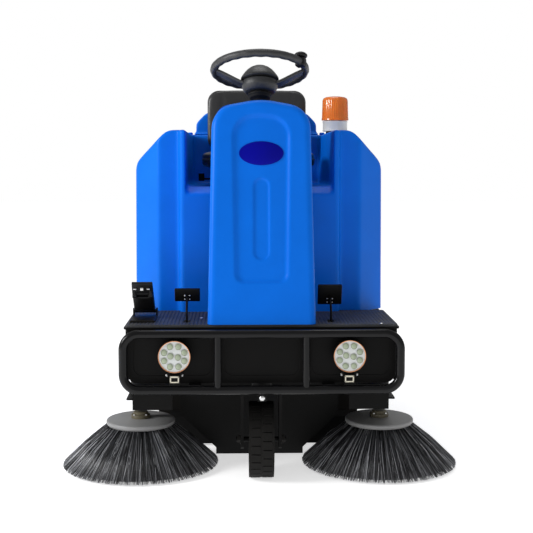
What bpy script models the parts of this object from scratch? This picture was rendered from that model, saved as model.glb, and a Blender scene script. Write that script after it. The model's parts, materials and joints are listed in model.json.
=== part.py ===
"""Ride on sweeper: a seated floor sweeper with two side brushes, a roller brush and a rear hopper.

Metres, +Z up. The machine's front faces -Y, the ground is z = 0, and "left" and "right" are the rider's own,
so right is -X. Moving pieces hang from empties that stand on their joints' axes.
"""

import math

import bmesh
import bpy
from mathutils import Matrix, Vector

GAP = 0.0003
SIDES = (("right", -1), ("left", 1))

# Overall
FRONT_Y = -0.80
REAR_Y = 0.80

# Chassis
FRAME_LOW, FRAME_TOP = 0.470, 0.5297
RAIL_IN, RAIL_OUT = 0.300, 0.350
FRAME_FRONT, FRAME_REAR = -0.725, 0.740
HOPPER_RAIL_Z = 0.405

# Platform
DECK_HALF = 0.4535
DECK_FRONT, DECK_REAR = -0.760, -0.360
DECK_LOW, DECK_TOP = 0.530, 0.536
MAT_TOP = 0.545
BRAKE_X, FLAP_PEDAL_X = -0.250, 0.234
PEDAL_PIVOT = (-0.670, 0.500)

# Bumper and work lights
BUMPER_R = 0.015
BUMPER_HALF, BUMPER_LOW, BUMPER_HIGH = 0.453, 0.333, 0.518
BUMPER_Y = FRONT_Y + BUMPER_R
POST_X = 0.145
LIGHT_X, LIGHT_Y, LIGHT_Z, LIGHT_R = 0.286, -0.780, 0.445, 0.055
LIGHT_PIVOT_Z = 0.382

# Steering column: a hollow cover that leans back
LEAN = math.radians(8.3)
COLUMN_FRONT = -0.765
COLUMN_HALF_LOW, COLUMN_HALF_HIGH = 0.180, 0.164
COLUMN_TALL = 0.752
COLUMN_DEEP = 0.150
WALL = 0.005

# Steering wheel and shaft
WHEEL_TILT = math.radians(16.5)
WHEEL_CENTRE = Vector((0, -0.42, 1.398))
WHEEL_R, RIM_R = 0.160, 0.0145
HUB_TOP = -0.0427  # along the shaft, from the wheel's plane
HUB_LOW, SHAFT_END = 0.084, 0.394  # distances below that plane
SHAFT = Vector((0, math.sin(WHEEL_TILT), math.cos(WHEEL_TILT)))

# Front fork and wheel
STEER_Y = -0.680
FRONT_AXLE = (-0.625, 0.130)
FRONT_TYRE_R, FRONT_TYRE_HALF = 0.130, 0.0425
STEM_R = 0.021

# Rear wheels
REAR_AXLE = (0.450, 0.150)
REAR_TYRE_R = 0.150
REAR_IN, REAR_OUT = 0.375, 0.438

# Roller brush and flap
ROLLER = (0.050, 0.144)
ROLLER_R, ROLLER_HALF = 0.140, 0.350
FLAP_Y, FLAP_PIVOT_Z, FLAP_HALF, FLAP_FOOT_HALF = -0.340, 0.305, 0.290, 0.160

# Side brushes
BRUSH_X, BRUSH_Y, BRUSH_Z = 0.424, -0.480, 0.170
BRUSH_TILT = math.radians(1.5)
DISC_R, BRISTLE_R = 0.121, 0.276
ARM_PIVOT = (-0.275, 0.272)

# Body shell
BODY_LOW = 0.5368
BODY_HALF_LOW, BODY_HALF_HIGH, SHOULDER_Z = 0.456, 0.450, 1.075
BODY_TOP, BODY_TOP_HALF = 1.192, 0.330
WING_FRONT, SEAT_BOX_FRONT, SEAT_BOX_HALF = -0.380, -0.420, 0.286
WING_CREASE = 0.362
SEAT_EDGE = ((-0.455, 0.9375),
             (-0.345, 1.020))  # the slope of the seat box's front edge, as two (y, z) points
BODY_REAR = 0.760
SEAT_Z, RECESS_HALF, RECESS_REAR = 0.990, 0.262, 0.236
HOOD_OPENING = ((-0.245, 0.262), (0.245, 0.695))

# Seat
SEAT_SLIDE_Z = 1.0285
CUSHION = ((-0.213, -0.27, 1.050), (0.213, 0.134, 1.124))
BACK = ((-0.200, 0.140, 1.127), (0.200, 0.198, 1.372))
BACK_LEAN = math.radians(4)

# Hopper
HOPPER_HALF, HOPPER_FRONT, HOPPER_REAR = 0.250, 0.270, 0.775
HOPPER_LOW, HOPPER_TOP = 0.090, 0.430

COLOURS = {
    "blue_plastic": ((0.0, 0.17, 0.82), 0.25, 0.0),
    "black_steel": ((0.012, 0.012, 0.013), 0.40, 0.0),
    "dark_steel": ((0.05, 0.05, 0.055), 0.45, 0.6),
    "black_plastic": ((0.015, 0.015, 0.016), 0.50, 0.0),
    "rubber": ((0.012, 0.012, 0.012), 0.80, 0.0),
    "tyre": ((0.013, 0.013, 0.013), 0.85, 0.0),
    "vinyl": ((0.014, 0.014, 0.015), 0.35, 0.0),
    "grey_plastic": ((0.11, 0.12, 0.13), 0.45, 0.0),
    "bristle": ((0.02, 0.022, 0.025), 0.60, 0.0),
    "steel": ((0.55, 0.55, 0.55), 0.30, 1.0),
    "amber": ((0.95, 0.25, 0.01), 0.20, 0.0),
    "pale_plastic": ((0.65, 0.66, 0.66), 0.40, 0.0),
    "red_plastic": ((0.60, 0.01, 0.01), 0.35, 0.0),
    "filter_paper": ((0.60, 0.55, 0.42), 0.80, 0.0),
    "light_metal": ((0.70, 0.70, 0.66), 0.30, 0.4),
}


def clear_scene():
    for old in list(bpy.data.objects):
        bpy.data.objects.remove(old, do_unlink=True)


def new_collection(name):
    made = bpy.data.collections.new(name)
    bpy.context.scene.collection.children.link(made)
    return made


def make_materials():
    made = {}
    for name, (colour, roughness, metallic) in COLOURS.items():
        material = bpy.data.materials.new(name)
        material.use_nodes = True
        shader = material.node_tree.nodes["Principled BSDF"]
        shader.inputs["Base Color"].default_value = (*colour, 1)
        shader.inputs["Roughness"].default_value = roughness
        shader.inputs["Metallic"].default_value = metallic
        made[name] = material
    return made


clear_scene()
PARTS = new_collection("ride_on_sweeper")
CUTTERS = new_collection("cutters")
MATERIALS = make_materials()


# Shape helpers


def place(name, data, material=None):
    """A new object; it is a node if it has a material, and otherwise a shape for a Boolean."""
    obj = bpy.data.objects.new(name, data)
    if material:
        PARTS.objects.link(obj)
        data.materials.append(MATERIALS[material])
    else:
        CUTTERS.objects.link(obj)
        obj.hide_render = True
        obj.display_type = "WIRE"
    return obj


def mesh_of(name, made):
    bmesh.ops.recalc_face_normals(made, faces=made.faces)
    mesh = bpy.data.meshes.new(name)
    made.to_mesh(mesh)
    made.free()
    return mesh


def bevel(obj, width, segments=2):
    modifier = obj.modifiers.new("round", "BEVEL")
    modifier.width = width
    modifier.segments = segments
    modifier.limit_method = "ANGLE"
    modifier.angle_limit = math.radians(35)


def box(name, low, high, material=None, round_by=0.0, segments=2):
    low, high = Vector(low), Vector(high)
    made = bmesh.new()
    bmesh.ops.create_cube(made, size=1)
    bmesh.ops.scale(made, vec=high - low, verts=made.verts)
    obj = place(name, mesh_of(name, made), material)
    obj.location = (low + high) / 2
    if round_by:
        bevel(obj, round_by, segments)
    return obj


def smooth(obj, angle=40):
    obj.data.shade_smooth()
    obj.data.set_sharp_from_angle(angle=math.radians(angle))


def cylinder(name, start, end, radius, material=None, sides=24):
    start, end = Vector(start), Vector(end)
    made = bmesh.new()
    bmesh.ops.create_cone(
        made,
        cap_ends=True,
        segments=sides,
        radius1=radius,
        radius2=radius,
        depth=(end - start).length,
    )
    obj = place(name, mesh_of(name, made), material)
    obj.location = (start + end) / 2
    obj.rotation_euler = (end - start).to_track_quat("Z", "Y").to_euler()
    smooth(obj)
    return obj


def turned(name, profile, centre, axis=(0, 0, 1), material=None, steps=32):
    """A profile of (radius, height) points, down its outer side, turned about the axis through centre."""
    closed = profile[0][0] > 0 and profile[-1][0] > 0
    edges = [(i, i + 1) for i in range(len(profile) - 1)]
    if closed:
        edges.append((len(profile) - 1, 0))
    mesh = bpy.data.meshes.new(name)
    mesh.from_pydata([(r, 0, z) for r, z in profile], edges, [])
    obj = place(name, mesh, material)
    screw = obj.modifiers.new("turn", "SCREW")
    screw.steps = steps
    screw.render_steps = steps
    screw.use_merge_vertices = True
    screw.merge_threshold = 0.00001
    screw.use_smooth_shade = False
    obj.location = centre
    axis = Vector(axis)
    obj.rotation_euler = Vector((0, 0, 1)).rotation_difference(axis).to_euler()
    return obj


def arc(centre, radius, start, end, steps):
    """Points on an arc, with angles in degrees."""
    angles = [math.radians(start + (end - start) * i / steps) for i in range(steps + 1)]
    return [(centre[0] + radius * math.cos(a), centre[1] + radius * math.sin(a)) for a in angles]


def rounded(corners, steps=4):
    """An outline from (x, y, radius) corners, each rounded by an arc where its radius isn't 0."""
    outline = []
    for i, (x, y, radius) in enumerate(corners):
        here = Vector((x, y))
        if not radius:
            outline.append((x, y))
            continue
        before = (Vector(corners[i - 1][:2]) - here).normalized()
        after = (Vector(corners[(i + 1) % len(corners)][:2]) - here).normalized()
        half = before.angle(after) / 2
        middle = here + (before + after).normalized() * radius / math.sin(half)
        first = here + before * radius / math.tan(half) - middle
        last = here + after * radius / math.tan(half) - middle
        turn = first.angle_signed(last)
        for k in range(steps + 1):
            outline.append(tuple(middle + Matrix.Rotation(-turn * k / steps, 2) @ first))
    return outline


def inset(outline, depth):
    """The outline with every edge moved in by depth. Its corners run anticlockwise."""
    moved = []
    for i, corner in enumerate(outline):
        here = Vector(corner)
        before = (here - Vector(outline[i - 1])).normalized()
        after = (Vector(outline[(i + 1) % len(outline)]) - here).normalized()
        inward = Vector((-before.y, before.x)) + Vector((-after.y, after.x))
        moved.append(tuple(here + inward * depth / (1 + before.dot(after))))
    return moved


def plate(name, outline, thickness, material=None, holes=()):
    """A flat outline in its own XY plane, thickened evenly about z = 0, as a closed mesh."""
    curve = bpy.data.curves.new(name, "CURVE")
    curve.dimensions = "2D"
    curve.fill_mode = "BOTH"
    curve.extrude = thickness / 2
    for loop in (outline, *holes):
        spline = curve.splines.new("POLY")
        spline.points.add(len(loop) - 1)
        for point, (x, y) in zip(spline.points, loop):
            point.co = (x, y, 0, 1)
        spline.use_cyclic_u = True
    return place(name, closed_mesh(name, curve), material)


def closed_mesh(name, curve):
    guide = bpy.data.objects.new(name + "_guide", curve)
    CUTTERS.objects.link(guide)
    bpy.context.view_layer.update()
    graph = bpy.context.evaluated_depsgraph_get()
    mesh = bpy.data.meshes.new_from_object(guide.evaluated_get(graph))
    bpy.data.objects.remove(guide)
    made = bmesh.new()
    made.from_mesh(mesh)
    bmesh.ops.remove_doubles(made, verts=made.verts, dist=0.00001)
    bpy.data.meshes.remove(mesh)
    return mesh_of(name, made)


def across_y(name, outline, low, high, material=None):
    """A front outline of (x, z) points, reaching from y = low to y = high."""
    obj = plate(name, outline, high - low, material)
    obj.rotation_euler = (math.radians(90), 0, 0)
    obj.location = (0, (low + high) / 2, 0)
    return obj


def across_x(name, outline, low, high, material=None):
    """A side outline of (y, z) points, reaching from x = low to x = high."""
    obj = plate(name, outline, high - low, material)
    obj.rotation_euler = (math.radians(90), 0, math.radians(90))
    obj.location = ((low + high) / 2, 0, 0)
    return obj


def across_z(name, outline, low, high, material=None):
    """A plan outline of (x, y) points, reaching from z = low to z = high."""
    obj = plate(name, outline, high - low, material)
    obj.location = (0, 0, (low + high) / 2)
    return obj


def tube(name, points, radius, material=None, cyclic=False, resolution=2):
    curve = bpy.data.curves.new(name, "CURVE")
    curve.dimensions = "3D"
    curve.bevel_depth = radius
    curve.bevel_resolution = resolution
    curve.use_fill_caps = True
    spline = curve.splines.new("POLY")
    spline.points.add(len(points) - 1)
    for point, place_at in zip(spline.points, points):
        point.co = (*place_at, 1)
    spline.use_cyclic_u = cyclic
    return place(name, closed_mesh(name, curve), material)


def combine(target, shape, operation):
    modifier = target.modifiers.new(operation.lower(), "BOOLEAN")
    modifier.operation = operation
    modifier.object = shape


def join(target, *shapes):
    for shape in shapes:
        combine(target, shape, "UNION")
    return target


def cut(target, *shapes):
    for shape in shapes:
        combine(target, shape, "DIFFERENCE")
    return target


def joint_axis(name, at):
    empty = bpy.data.objects.new(name, None)
    empty.empty_display_size = 0.05
    PARTS.objects.link(empty)
    empty.location = at
    bpy.context.view_layer.update()
    return empty


def hang(axis, *pieces):
    """Parents the pieces to the joint's empty without moving them."""
    bpy.context.view_layer.update()
    for piece in pieces:
        piece.parent = axis
        piece.matrix_parent_inverse = axis.matrix_world.inverted()


# Chassis


def chassis_frame():
    frame = box(
        "chassis_frame", (-RAIL_OUT, FRAME_FRONT, FRAME_LOW), (RAIL_OUT, FRAME_FRONT + 0.025, FRAME_TOP),
        "black_steel",
    )
    for y in (-0.360, 0.030, 0.250, FRAME_REAR - 0.050):
        join(frame, box("cross", (-RAIL_OUT + 0.01, y, FRAME_LOW), (RAIL_OUT - 0.01, y + 0.050, FRAME_TOP)))
    join(frame, box("spine", (-0.050, FRAME_FRONT + 0.01, 0.476), (0.050, -0.330, 0.524)))
    for side in (-1, 1):
        join(frame, *frame_side(side))
    bore = cylinder("stem_bore", (0, STEER_Y, 0.4), (0, STEER_Y, 0.6), STEM_R + 0.0012)
    return cut(frame, bore)


def frame_side(side):
    """One rail with the brackets that hang from it."""
    def across(x_in, x_out):
        return sorted((side * x_in, side * x_out))

    def piece(name, x_in, x_out, low, high):
        x_low, x_high = across(x_in, x_out)
        return box(name, (x_low, *low), (x_high, *high))

    axle = REAR_AXLE
    bracket = piece("axle_bracket", 0.315, 0.335, (axle[0] - 0.07, 0.090), (axle[0] + 0.07, FRAME_LOW + 0.01))
    hole = cylinder("shaft_hole", (side * 0.30, *axle), (side * 0.35, *axle), 0.0215)
    cut(bracket, hole)
    return (
        piece("rail", RAIL_IN, RAIL_OUT, (FRAME_FRONT + 0.002, FRAME_LOW), (FRAME_REAR, FRAME_TOP)),
        bracket,
        piece("arm_bracket", 0.322, 0.342, (-0.300, 0.250), (-0.250, FRAME_LOW + 0.01)),
        piece("flap_bracket", 0.196, 0.208, (-0.358, 0.288), (-0.322, FRAME_LOW + 0.01)),
        piece("hopper_web", 0.302, 0.308, (0.280, HOPPER_RAIL_Z - 0.006), (0.735, FRAME_LOW + 0.01)),
        piece("hopper_ledge", 0.262, 0.304, (0.280, HOPPER_RAIL_Z - 0.006), (0.735, HOPPER_RAIL_Z)),
    )


def front_panel():
    corner = 0.035
    outline = rounded([(-0.445, 0.345, corner), (0.445, 0.345, corner), (0.445, 0.5295, 0),
                       (-0.445, 0.5295, 0)])
    return across_y("front_panel", outline, -0.735, -0.731, "black_steel")


def front_bumper():
    corners = [
        (-BUMPER_HALF, BUMPER_LOW, 0.050), (BUMPER_HALF, BUMPER_LOW, 0.050),
        (BUMPER_HALF, BUMPER_HIGH, 0.050), (-BUMPER_HALF, BUMPER_HIGH, 0.050),
    ]
    path = [(x, BUMPER_Y, z) for x, z in rounded(corners, 5)]
    loop = tube("front_bumper", path, BUMPER_R, "black_steel", cyclic=True)
    for x in (-POST_X, POST_X):
        join(loop, cylinder("post", (x, BUMPER_Y, BUMPER_LOW), (x, BUMPER_Y, BUMPER_HIGH), 0.0125, sides=12))
    for x in (-0.32, 0.32):
        join(loop, box("upper_tab", (x - 0.02, BUMPER_Y, 0.511), (x + 0.02, DECK_FRONT - GAP, 0.525)))
    for x in (-0.22, 0.22):
        join(loop, box("lower_tab", (x - 0.02, BUMPER_Y, 0.331), (x + 0.02, -0.7353, 0.350)))
    return loop


def pedal_slots(low, high):
    return [
        box("pedal_slot", (x - 0.011, -0.697, low), (x + 0.011, -0.640, high)) for x in (BRAKE_X,
                                                                                         FLAP_PEDAL_X)
    ]


def platform_plate():
    outline = rounded([
        (-DECK_HALF, DECK_FRONT, 0.012), (DECK_HALF, DECK_FRONT, 0.012),
        (DECK_HALF, DECK_REAR, 0), (-DECK_HALF, DECK_REAR, 0),
    ])
    deck = across_z("platform_plate", outline, DECK_LOW, DECK_TOP, "black_steel")
    join(deck, box("front_lip", (-0.400, DECK_FRONT, 0.505), (0.400, DECK_FRONT + 0.004, DECK_LOW + 0.003)))
    return cut(deck, *pedal_slots(0.5, 0.6))


def floor_mat():
    outline = rounded([
        (-0.448, -0.756, 0.010), (0.448, -0.756, 0.010), (0.448, -0.384, 0), (SEAT_BOX_HALF, -0.384, 0),
        (SEAT_BOX_HALF, -0.4212, 0), (-SEAT_BOX_HALF, -0.4212, 0), (-SEAT_BOX_HALF, -0.384, 0),
        (-0.448, -0.384, 0),
    ])
    mat = across_z("floor_mat", outline, DECK_TOP + GAP, MAT_TOP, "rubber")
    return cut(mat, *pedal_slots(0.5, 0.6))


def lower_skirt(name, side):
    y, z = REAR_AXLE
    outline = rounded([
        (-0.720, 0.529, 0), (-0.720, 0.345, 0.030), (-0.190, 0.345, 0.040), (-0.130, 0.150, 0.030),
        (y - 0.186, 0.150, 0),
    ])
    outline += arc((y, z), 0.186, 172, 8, 10)
    outline += rounded([(y + 0.186, 0.150, 0), (0.680, 0.150, 0.030), (0.760, 0.300, 0.040),
                        (0.760, 0.529, 0)])
    x_low, x_high = sorted((side * 0.4465, side * 0.4505))
    return across_x(name, outline, x_low, x_high, "black_steel")


# Steering column


def column_outline():
    return rounded([
        (-COLUMN_HALF_LOW, -0.040, 0), (COLUMN_HALF_LOW, -0.040, 0),
        (COLUMN_HALF_HIGH, COLUMN_TALL - 0.030, 0.085), (0, COLUMN_TALL, 0.250),
        (-COLUMN_HALF_HIGH, COLUMN_TALL - 0.030, 0.085),
    ])


def leaned(obj, depth):
    """Sets a front outline up so that its middle is depth behind the column's leaning face."""
    obj.rotation_euler = (math.radians(90) - LEAN, 0, 0)
    behind = Vector((0, math.cos(LEAN), -math.sin(LEAN)))
    obj.location = Vector((0, COLUMN_FRONT, MAT_TOP)) + behind * depth
    return obj


def column_form(name, outline, low, high, material=None, round_by=0.024):
    form = leaned(plate(name, outline, high - low, material), (low + high) / 2)
    bevel(form, round_by, 3)
    return form


def column_front_cover():
    cover = column_form("column_front_cover", column_outline(), 0, COLUMN_DEEP + 0.05, "blue_plastic")
    hollow = column_form("column_hollow", inset(column_outline(), WALL), WALL, COLUMN_DEEP + 0.12,
                         round_by=0.020)
    behind = leaned(plate("column_behind", [(-0.3, -0.2), (0.3, -0.2), (0.3, 0.9), (-0.3, 0.9)], 0.2),
                    COLUMN_DEEP + 0.1)
    below = box("column_below", (-0.3, -0.9, 0.3), (0.3, -0.4, MAT_TOP + GAP))
    return cut(cover, hollow, behind, below)


def column_back_y(z):
    """Where the front cover's open back stands at height z."""
    return COLUMN_FRONT + COLUMN_DEEP / math.cos(LEAN) + (z - MAT_TOP) * math.tan(LEAN)


def column_rear_cover():
    low = MAT_TOP + GAP
    outline = [
        (column_back_y(low) + 0.001, low), (-0.585, low), (-0.505, 0.990), (-0.345, 1.120), (-0.335, 1.190),
        (-0.500, 1.277), (column_back_y(1.262) + 0.001, 1.262),
    ]
    outer = rounded([(*p, r) for p, r in zip(outline, (0, 0, 0.04, 0.02, 0.012, 0.01, 0))])
    inner = [
        (column_back_y(low) - 0.03, low - 0.03), (-0.590, low - 0.03), (-0.511, 0.993), (-0.351, 1.123),
        (-0.341, 1.186), (-0.500, 1.270), (column_back_y(1.25) - 0.03, 1.256),
    ]
    cover = across_x("column_rear_cover", outer, -0.156, 0.156, "blue_plastic")
    shaft_hole = cylinder("shaft_exit", WHEEL_CENTRE, WHEEL_CENTRE - SHAFT * 0.25, 0.024)
    return cut(cover, across_x("rear_cover_hollow", inner, -0.151, 0.151), shaft_hole)


DASH_TILT = math.atan2(1.277 - 1.190, 0.500 - 0.335)


def on_dash(x, along):
    """A point on the sloping top of the rear cover, and the slope's normal."""
    normal = Vector((0, math.sin(DASH_TILT), math.cos(DASH_TILT)))
    start = Vector((x, -0.335, 1.190)) + normal * GAP
    return start + Vector((0, -math.cos(DASH_TILT), math.sin(DASH_TILT))) * along, normal


def dashboard_panel():
    middle, normal = on_dash(0, 0.056)
    outline = rounded([(-0.135, -0.034, 0.015), (0.135, -0.034, 0.015), (0.135, 0.034, 0.015),
                       (-0.135, 0.034, 0.015)])
    panel = plate("dashboard_panel", outline, 0.006, "black_plastic")
    panel.location = middle + normal * 0.003
    panel.rotation_euler = (-DASH_TILT, 0, 0)
    return panel


def dash_knob(name, x, profile, material):
    foot, normal = on_dash(x, 0.056)
    return turned(name, profile, foot + normal * (0.006 + GAP), normal, material, 20)


def key_switch():
    knob = dash_knob("key_switch", -0.095, [(0, 0.006), (0.013, 0.006), (0.014, 0), (0, 0)], "steel")
    foot, normal = on_dash(-0.095, 0.056)
    bow = box("key_bow", (-0.0018, -0.010, 0.004), (0.0018, 0.010, 0.030))
    bow.location = foot + normal * 0.023
    bow.rotation_euler = (-DASH_TILT, 0, 0)
    return join(knob, bow)


def emergency_stop():
    profile = [(0, 0.034), (0.012, 0.033), (0.020, 0.029), (0.021, 0.020), (0.012, 0.016), (0.012, 0.008),
               (0, 0.008)]
    return dash_knob("emergency_stop", 0.095, profile, "red_plastic")


def steering_gearbox():
    post = box("steering_gearbox", (-0.020, -0.690, MAT_TOP + GAP), (0.020, -0.650, 0.970), "dark_steel")
    return join(post, box("gear_case", (-0.040, -0.680, 0.950), (0.040, -0.522, 1.014)))


def steering_boot():
    """A collar under the hub, stepping in to the sleeve round the shaft."""
    profile = [
        (0.041, -0.0875), (0.042, -0.094), (0.038, -0.098), (0.038, -0.103), (0.030, -0.108), (0.024, -0.113),
        (0.021, -0.136), (0.017, -0.136), (0.017, -0.0875),
    ]
    return turned("steering_boot", profile, WHEEL_CENTRE, SHAFT, "rubber", 20)


def steering_shaft():
    top, end = WHEEL_CENTRE - SHAFT * (HUB_LOW + GAP), WHEEL_CENTRE - SHAFT * SHAFT_END
    return cylinder("steering_shaft", end, top, 0.012, "steel", 16)


def steering_wheel():
    """A rim on two broad spokes that rise from a deep hub."""
    section = arc((WHEEL_R, 0), RIM_R, 90, -270, 8)[:-1]
    rim = turned("steering_wheel", section, WHEEL_CENTRE, SHAFT, "black_plastic", 36)
    outline = [(0, HUB_TOP), (0.062, HUB_TOP), (0.063, -0.064), (0.050, -HUB_LOW), (0, -HUB_LOW)]
    hub = turned("wheel_hub", outline, WHEEL_CENTRE, SHAFT, steps=28)
    frame = Matrix.Translation(WHEEL_CENTRE) @ Matrix.Rotation(-WHEEL_TILT, 4, "X")
    hub_end, rim_end = Vector((0.040, 0, -0.0622)), Vector((0.156, 0, -0.004))
    along = rim_end - hub_end
    rise = Matrix.Rotation(-math.atan2(along.z, along.x), 4, "Y")
    for turn in (0, math.pi):
        spoke = box("spoke", (-along.length / 2, -0.028, -0.005), (along.length / 2, 0.028, 0.005),
                    round_by=0.004)
        middle = Matrix.Translation((hub_end + rim_end) / 2)
        spoke.matrix_world = frame @ Matrix.Rotation(turn, 4, "Z") @ middle @ rise
        join(rim, spoke)
    return join(rim, hub)


def horn_button():
    profile = [
        (0, 0.016), (0.022, 0.0135), (0.044, 0.000), (0.058, -0.016), (0.066, -0.029), (0.067, -0.0375),
        (0, -0.0375),
    ]
    return turned("horn_button", profile, WHEEL_CENTRE, SHAFT, "black_plastic", 28)


def spinner_place():
    around = math.radians(-29)
    offset = Vector((WHEEL_R * math.cos(around), WHEEL_R * math.sin(around), 0))
    return WHEEL_CENTRE + Matrix.Rotation(-WHEEL_TILT, 3, "X") @ offset


def spinner_knob():
    profile = [
        (0, 0.036), (0.012, 0.0345), (0.021, 0.029), (0.024, 0.0225), (0.021, 0.0175), (0.012, 0.0155),
        (0, 0.0155),
    ]
    return turned("spinner_knob", profile, spinner_place(), SHAFT, "black_plastic", 20)


# Front wheel


def front_fork():
    crown = box("front_fork", (-0.078, STEER_Y - 0.030, 0.300), (0.078, STEER_Y + 0.087, 0.312),
                "black_steel")
    stem = cylinder("fork_stem", (0, STEER_Y, 0.305), (0, STEER_Y, 0.527), STEM_R)
    collar = cylinder("fork_collar", (0, STEER_Y, 0.305), (0, STEER_Y, 0.466), 0.034)
    join(crown, stem, collar)
    y, z = FRONT_AXLE
    for side in (-1, 1):
        low, high = sorted((side * 0.060, side * 0.070))
        outline = rounded([
            (y - 0.022, z - 0.030, 0.015), (y + 0.022, z - 0.030, 0.015), (y + 0.030, 0.308, 0),
            (y - 0.050, 0.308, 0),
        ])
        join(crown, across_x("fork_leg", outline, low, high))
    axle = cylinder("front_axle", (-0.086, y, z), (0.086, y, z), 0.0085, sides=12)
    return join(crown, axle)


def wheel(kind, name, centre, radius, bore, low, high, material, steps, crown=0.008):
    """A tyre or rim whose turned profile runs along X, with its lowest corner straight down."""
    half = (high - low) / 2
    if kind == "tyre":
        profile = [
            (bore, half - 0.004), (radius - 0.022, half), (radius - crown, half - 0.003),
            (radius, half - 0.014),
            (radius, -half + 0.014), (radius - crown, -half + 0.003), (radius - 0.022, -half),
            (bore, -half + 0.004),
        ]
    else:
        dish = half * 0.25
        profile = [
            (0.024, half + 0.001), (0.030, half), (0.034, dish), (radius - 0.016, dish),
            (radius - 0.012, half - 0.004),
            (radius, half - 0.004), (radius, -half + 0.004), (radius - 0.012, -half + 0.004),
            (radius - 0.016, -dish), (0.034, -dish), (0.030, -half), (0.024, -half),
        ]
        profile = profile + [(bore, -half), (bore, half + 0.001)] if bore else [(0, half + 0.001), *profile,
                                                                                (0, -half)]
    made = turned(name, profile, centre, (0, 0, 1), material, steps)
    made.rotation_euler = (0, math.radians(90), 0)
    return made


def front_wheel():
    centre = (0, *FRONT_AXLE)
    tyre = wheel("tyre", "front_tyre", centre, FRONT_TYRE_R, 0.078, -FRONT_TYRE_HALF, FRONT_TYRE_HALF,
                 "tyre", 40)
    rim = wheel("rim", "front_rim", centre, 0.078 - GAP, 0.0095, -0.036, 0.036, "light_metal", 24)
    return tyre, rim


# Rear drive


def rear_wheel(side_name, side):
    middle = side * (REAR_IN + REAR_OUT) / 2
    half = (REAR_OUT - REAR_IN) / 2
    centre = (middle, *REAR_AXLE)
    tyre = wheel("tyre", f"rear_tyre_{side_name}", centre, REAR_TYRE_R, 0.095, -half, half, "tyre", 40)
    rim = wheel("rim", f"rear_rim_{side_name}", centre, 0.095 - GAP, 0, -half, half, "light_metal", 24)
    return tyre, rim


def drive_motor(name, side):
    y, z = REAR_AXLE
    motor = cylinder(name, (side * 0.262, y, z), (side * (0.315 - GAP), y, z), 0.056, "dark_steel", 28)
    return join(motor, cylinder("drive_shaft", (side * 0.300, y, z), (side * 0.3735, y, z), 0.020, sides=16))


# Sweeping gear


def main_brush():
    half = ROLLER_HALF
    profile = [
        (0, half + 0.022), (0.012, half + 0.022), (0.012, half), (0.070, half), (ROLLER_R, half - 0.004),
        (ROLLER_R, -half + 0.004), (0.070, -half), (0.012, -half), (0.012, -half - 0.022), (0, -half - 0.022),
    ]
    roller = turned("main_brush", profile, (0, *ROLLER), (0, 0, 1), "bristle", 40)
    roller.rotation_euler = (0, math.radians(90), 0)
    return roller


def brush_housing():
    housing = box("brush_housing", (-0.385, -0.125, 0.060), (0.385, 0.235, 0.315), "dark_steel")
    hollow = box("housing_hollow", (-0.375, -0.119, 0.0), (0.375, 0.229, 0.309))
    throat = box("housing_throat", (-0.240, 0.200, 0.160), (0.240, 0.260, 0.300))
    cut(housing, hollow, throat)
    for side in (-1, 1):
        low, high = sorted((side * 0.312, side * 0.338))
        join(housing, box("hanger", (low, -0.020, 0.305), (high, 0.020, FRAME_LOW - GAP)))
    return housing


def main_brush_motor():
    y, z = ROLLER
    return cylinder("main_brush_motor", (0.3853, y, z), (0.4400, y, z), 0.045, "dark_steel")


def front_flap():
    """A rubber sheet, narrower at its foot, where the side brushes sweep past."""
    half = [(FLAP_FOOT_HALF, 0.006), (FLAP_FOOT_HALF, 0.030), (FLAP_HALF, 0.155), (FLAP_HALF, 0.285),
            (0.192, 0.285), (0.192, FLAP_PIVOT_Z)]
    outline = half + [(-x, z) for x, z in reversed(half)]
    flap = across_y("front_flap", outline, FLAP_Y - 0.004, FLAP_Y + 0.004, "rubber")
    bar = cylinder("flap_bar", (-0.1945, FLAP_Y, FLAP_PIVOT_Z), (0.1945, FLAP_Y, FLAP_PIVOT_Z), 0.009,
                   sides=12)
    return join(flap, bar)


def side_arm(name, side):
    """A swing arm: pivot tube at the rear, motor plate, and a folded guard in front."""
    def shape(label, x_in, x_out, low, high, material=None):
        x_low, x_high = sorted((side * x_in, side * x_out))
        return box(label, (x_low, *low), (x_high, *high), material)

    arm = shape(name, 0.345, 0.462, (-0.602, 0.262), (-0.280, 0.268), "black_steel")
    pivot_y, pivot_z = ARM_PIVOT
    pivot = cylinder("arm_pivot", (side * 0.3425, pivot_y, pivot_z), (side * 0.440, pivot_y, pivot_z),
                     0.014, sides=16)
    guard = shape("guard_front", 0.304, 0.441, (-0.606, 0.228), (-0.600, 0.315))
    roof = shape("guard_roof", 0.304, 0.441, (-0.602, 0.309), (-0.430, 0.315))
    join(arm, pivot, guard, roof)
    nose = cylinder("motor_nose_hole", (side * BRUSH_X, BRUSH_Y, 0.2), (side * BRUSH_X, BRUSH_Y, 0.29),
                    0.0225)
    return cut(arm, nose)


def side_brush_motor(name, side):
    x = side * BRUSH_X
    motor = cylinder(name, (x, BRUSH_Y, 0.2683), (x, BRUSH_Y, 0.3085), 0.034, "dark_steel", 20)
    return join(motor, cylinder("motor_nose", (x, BRUSH_Y, 0.204), (x, BRUSH_Y, 0.280), 0.020, sides=16))


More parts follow.
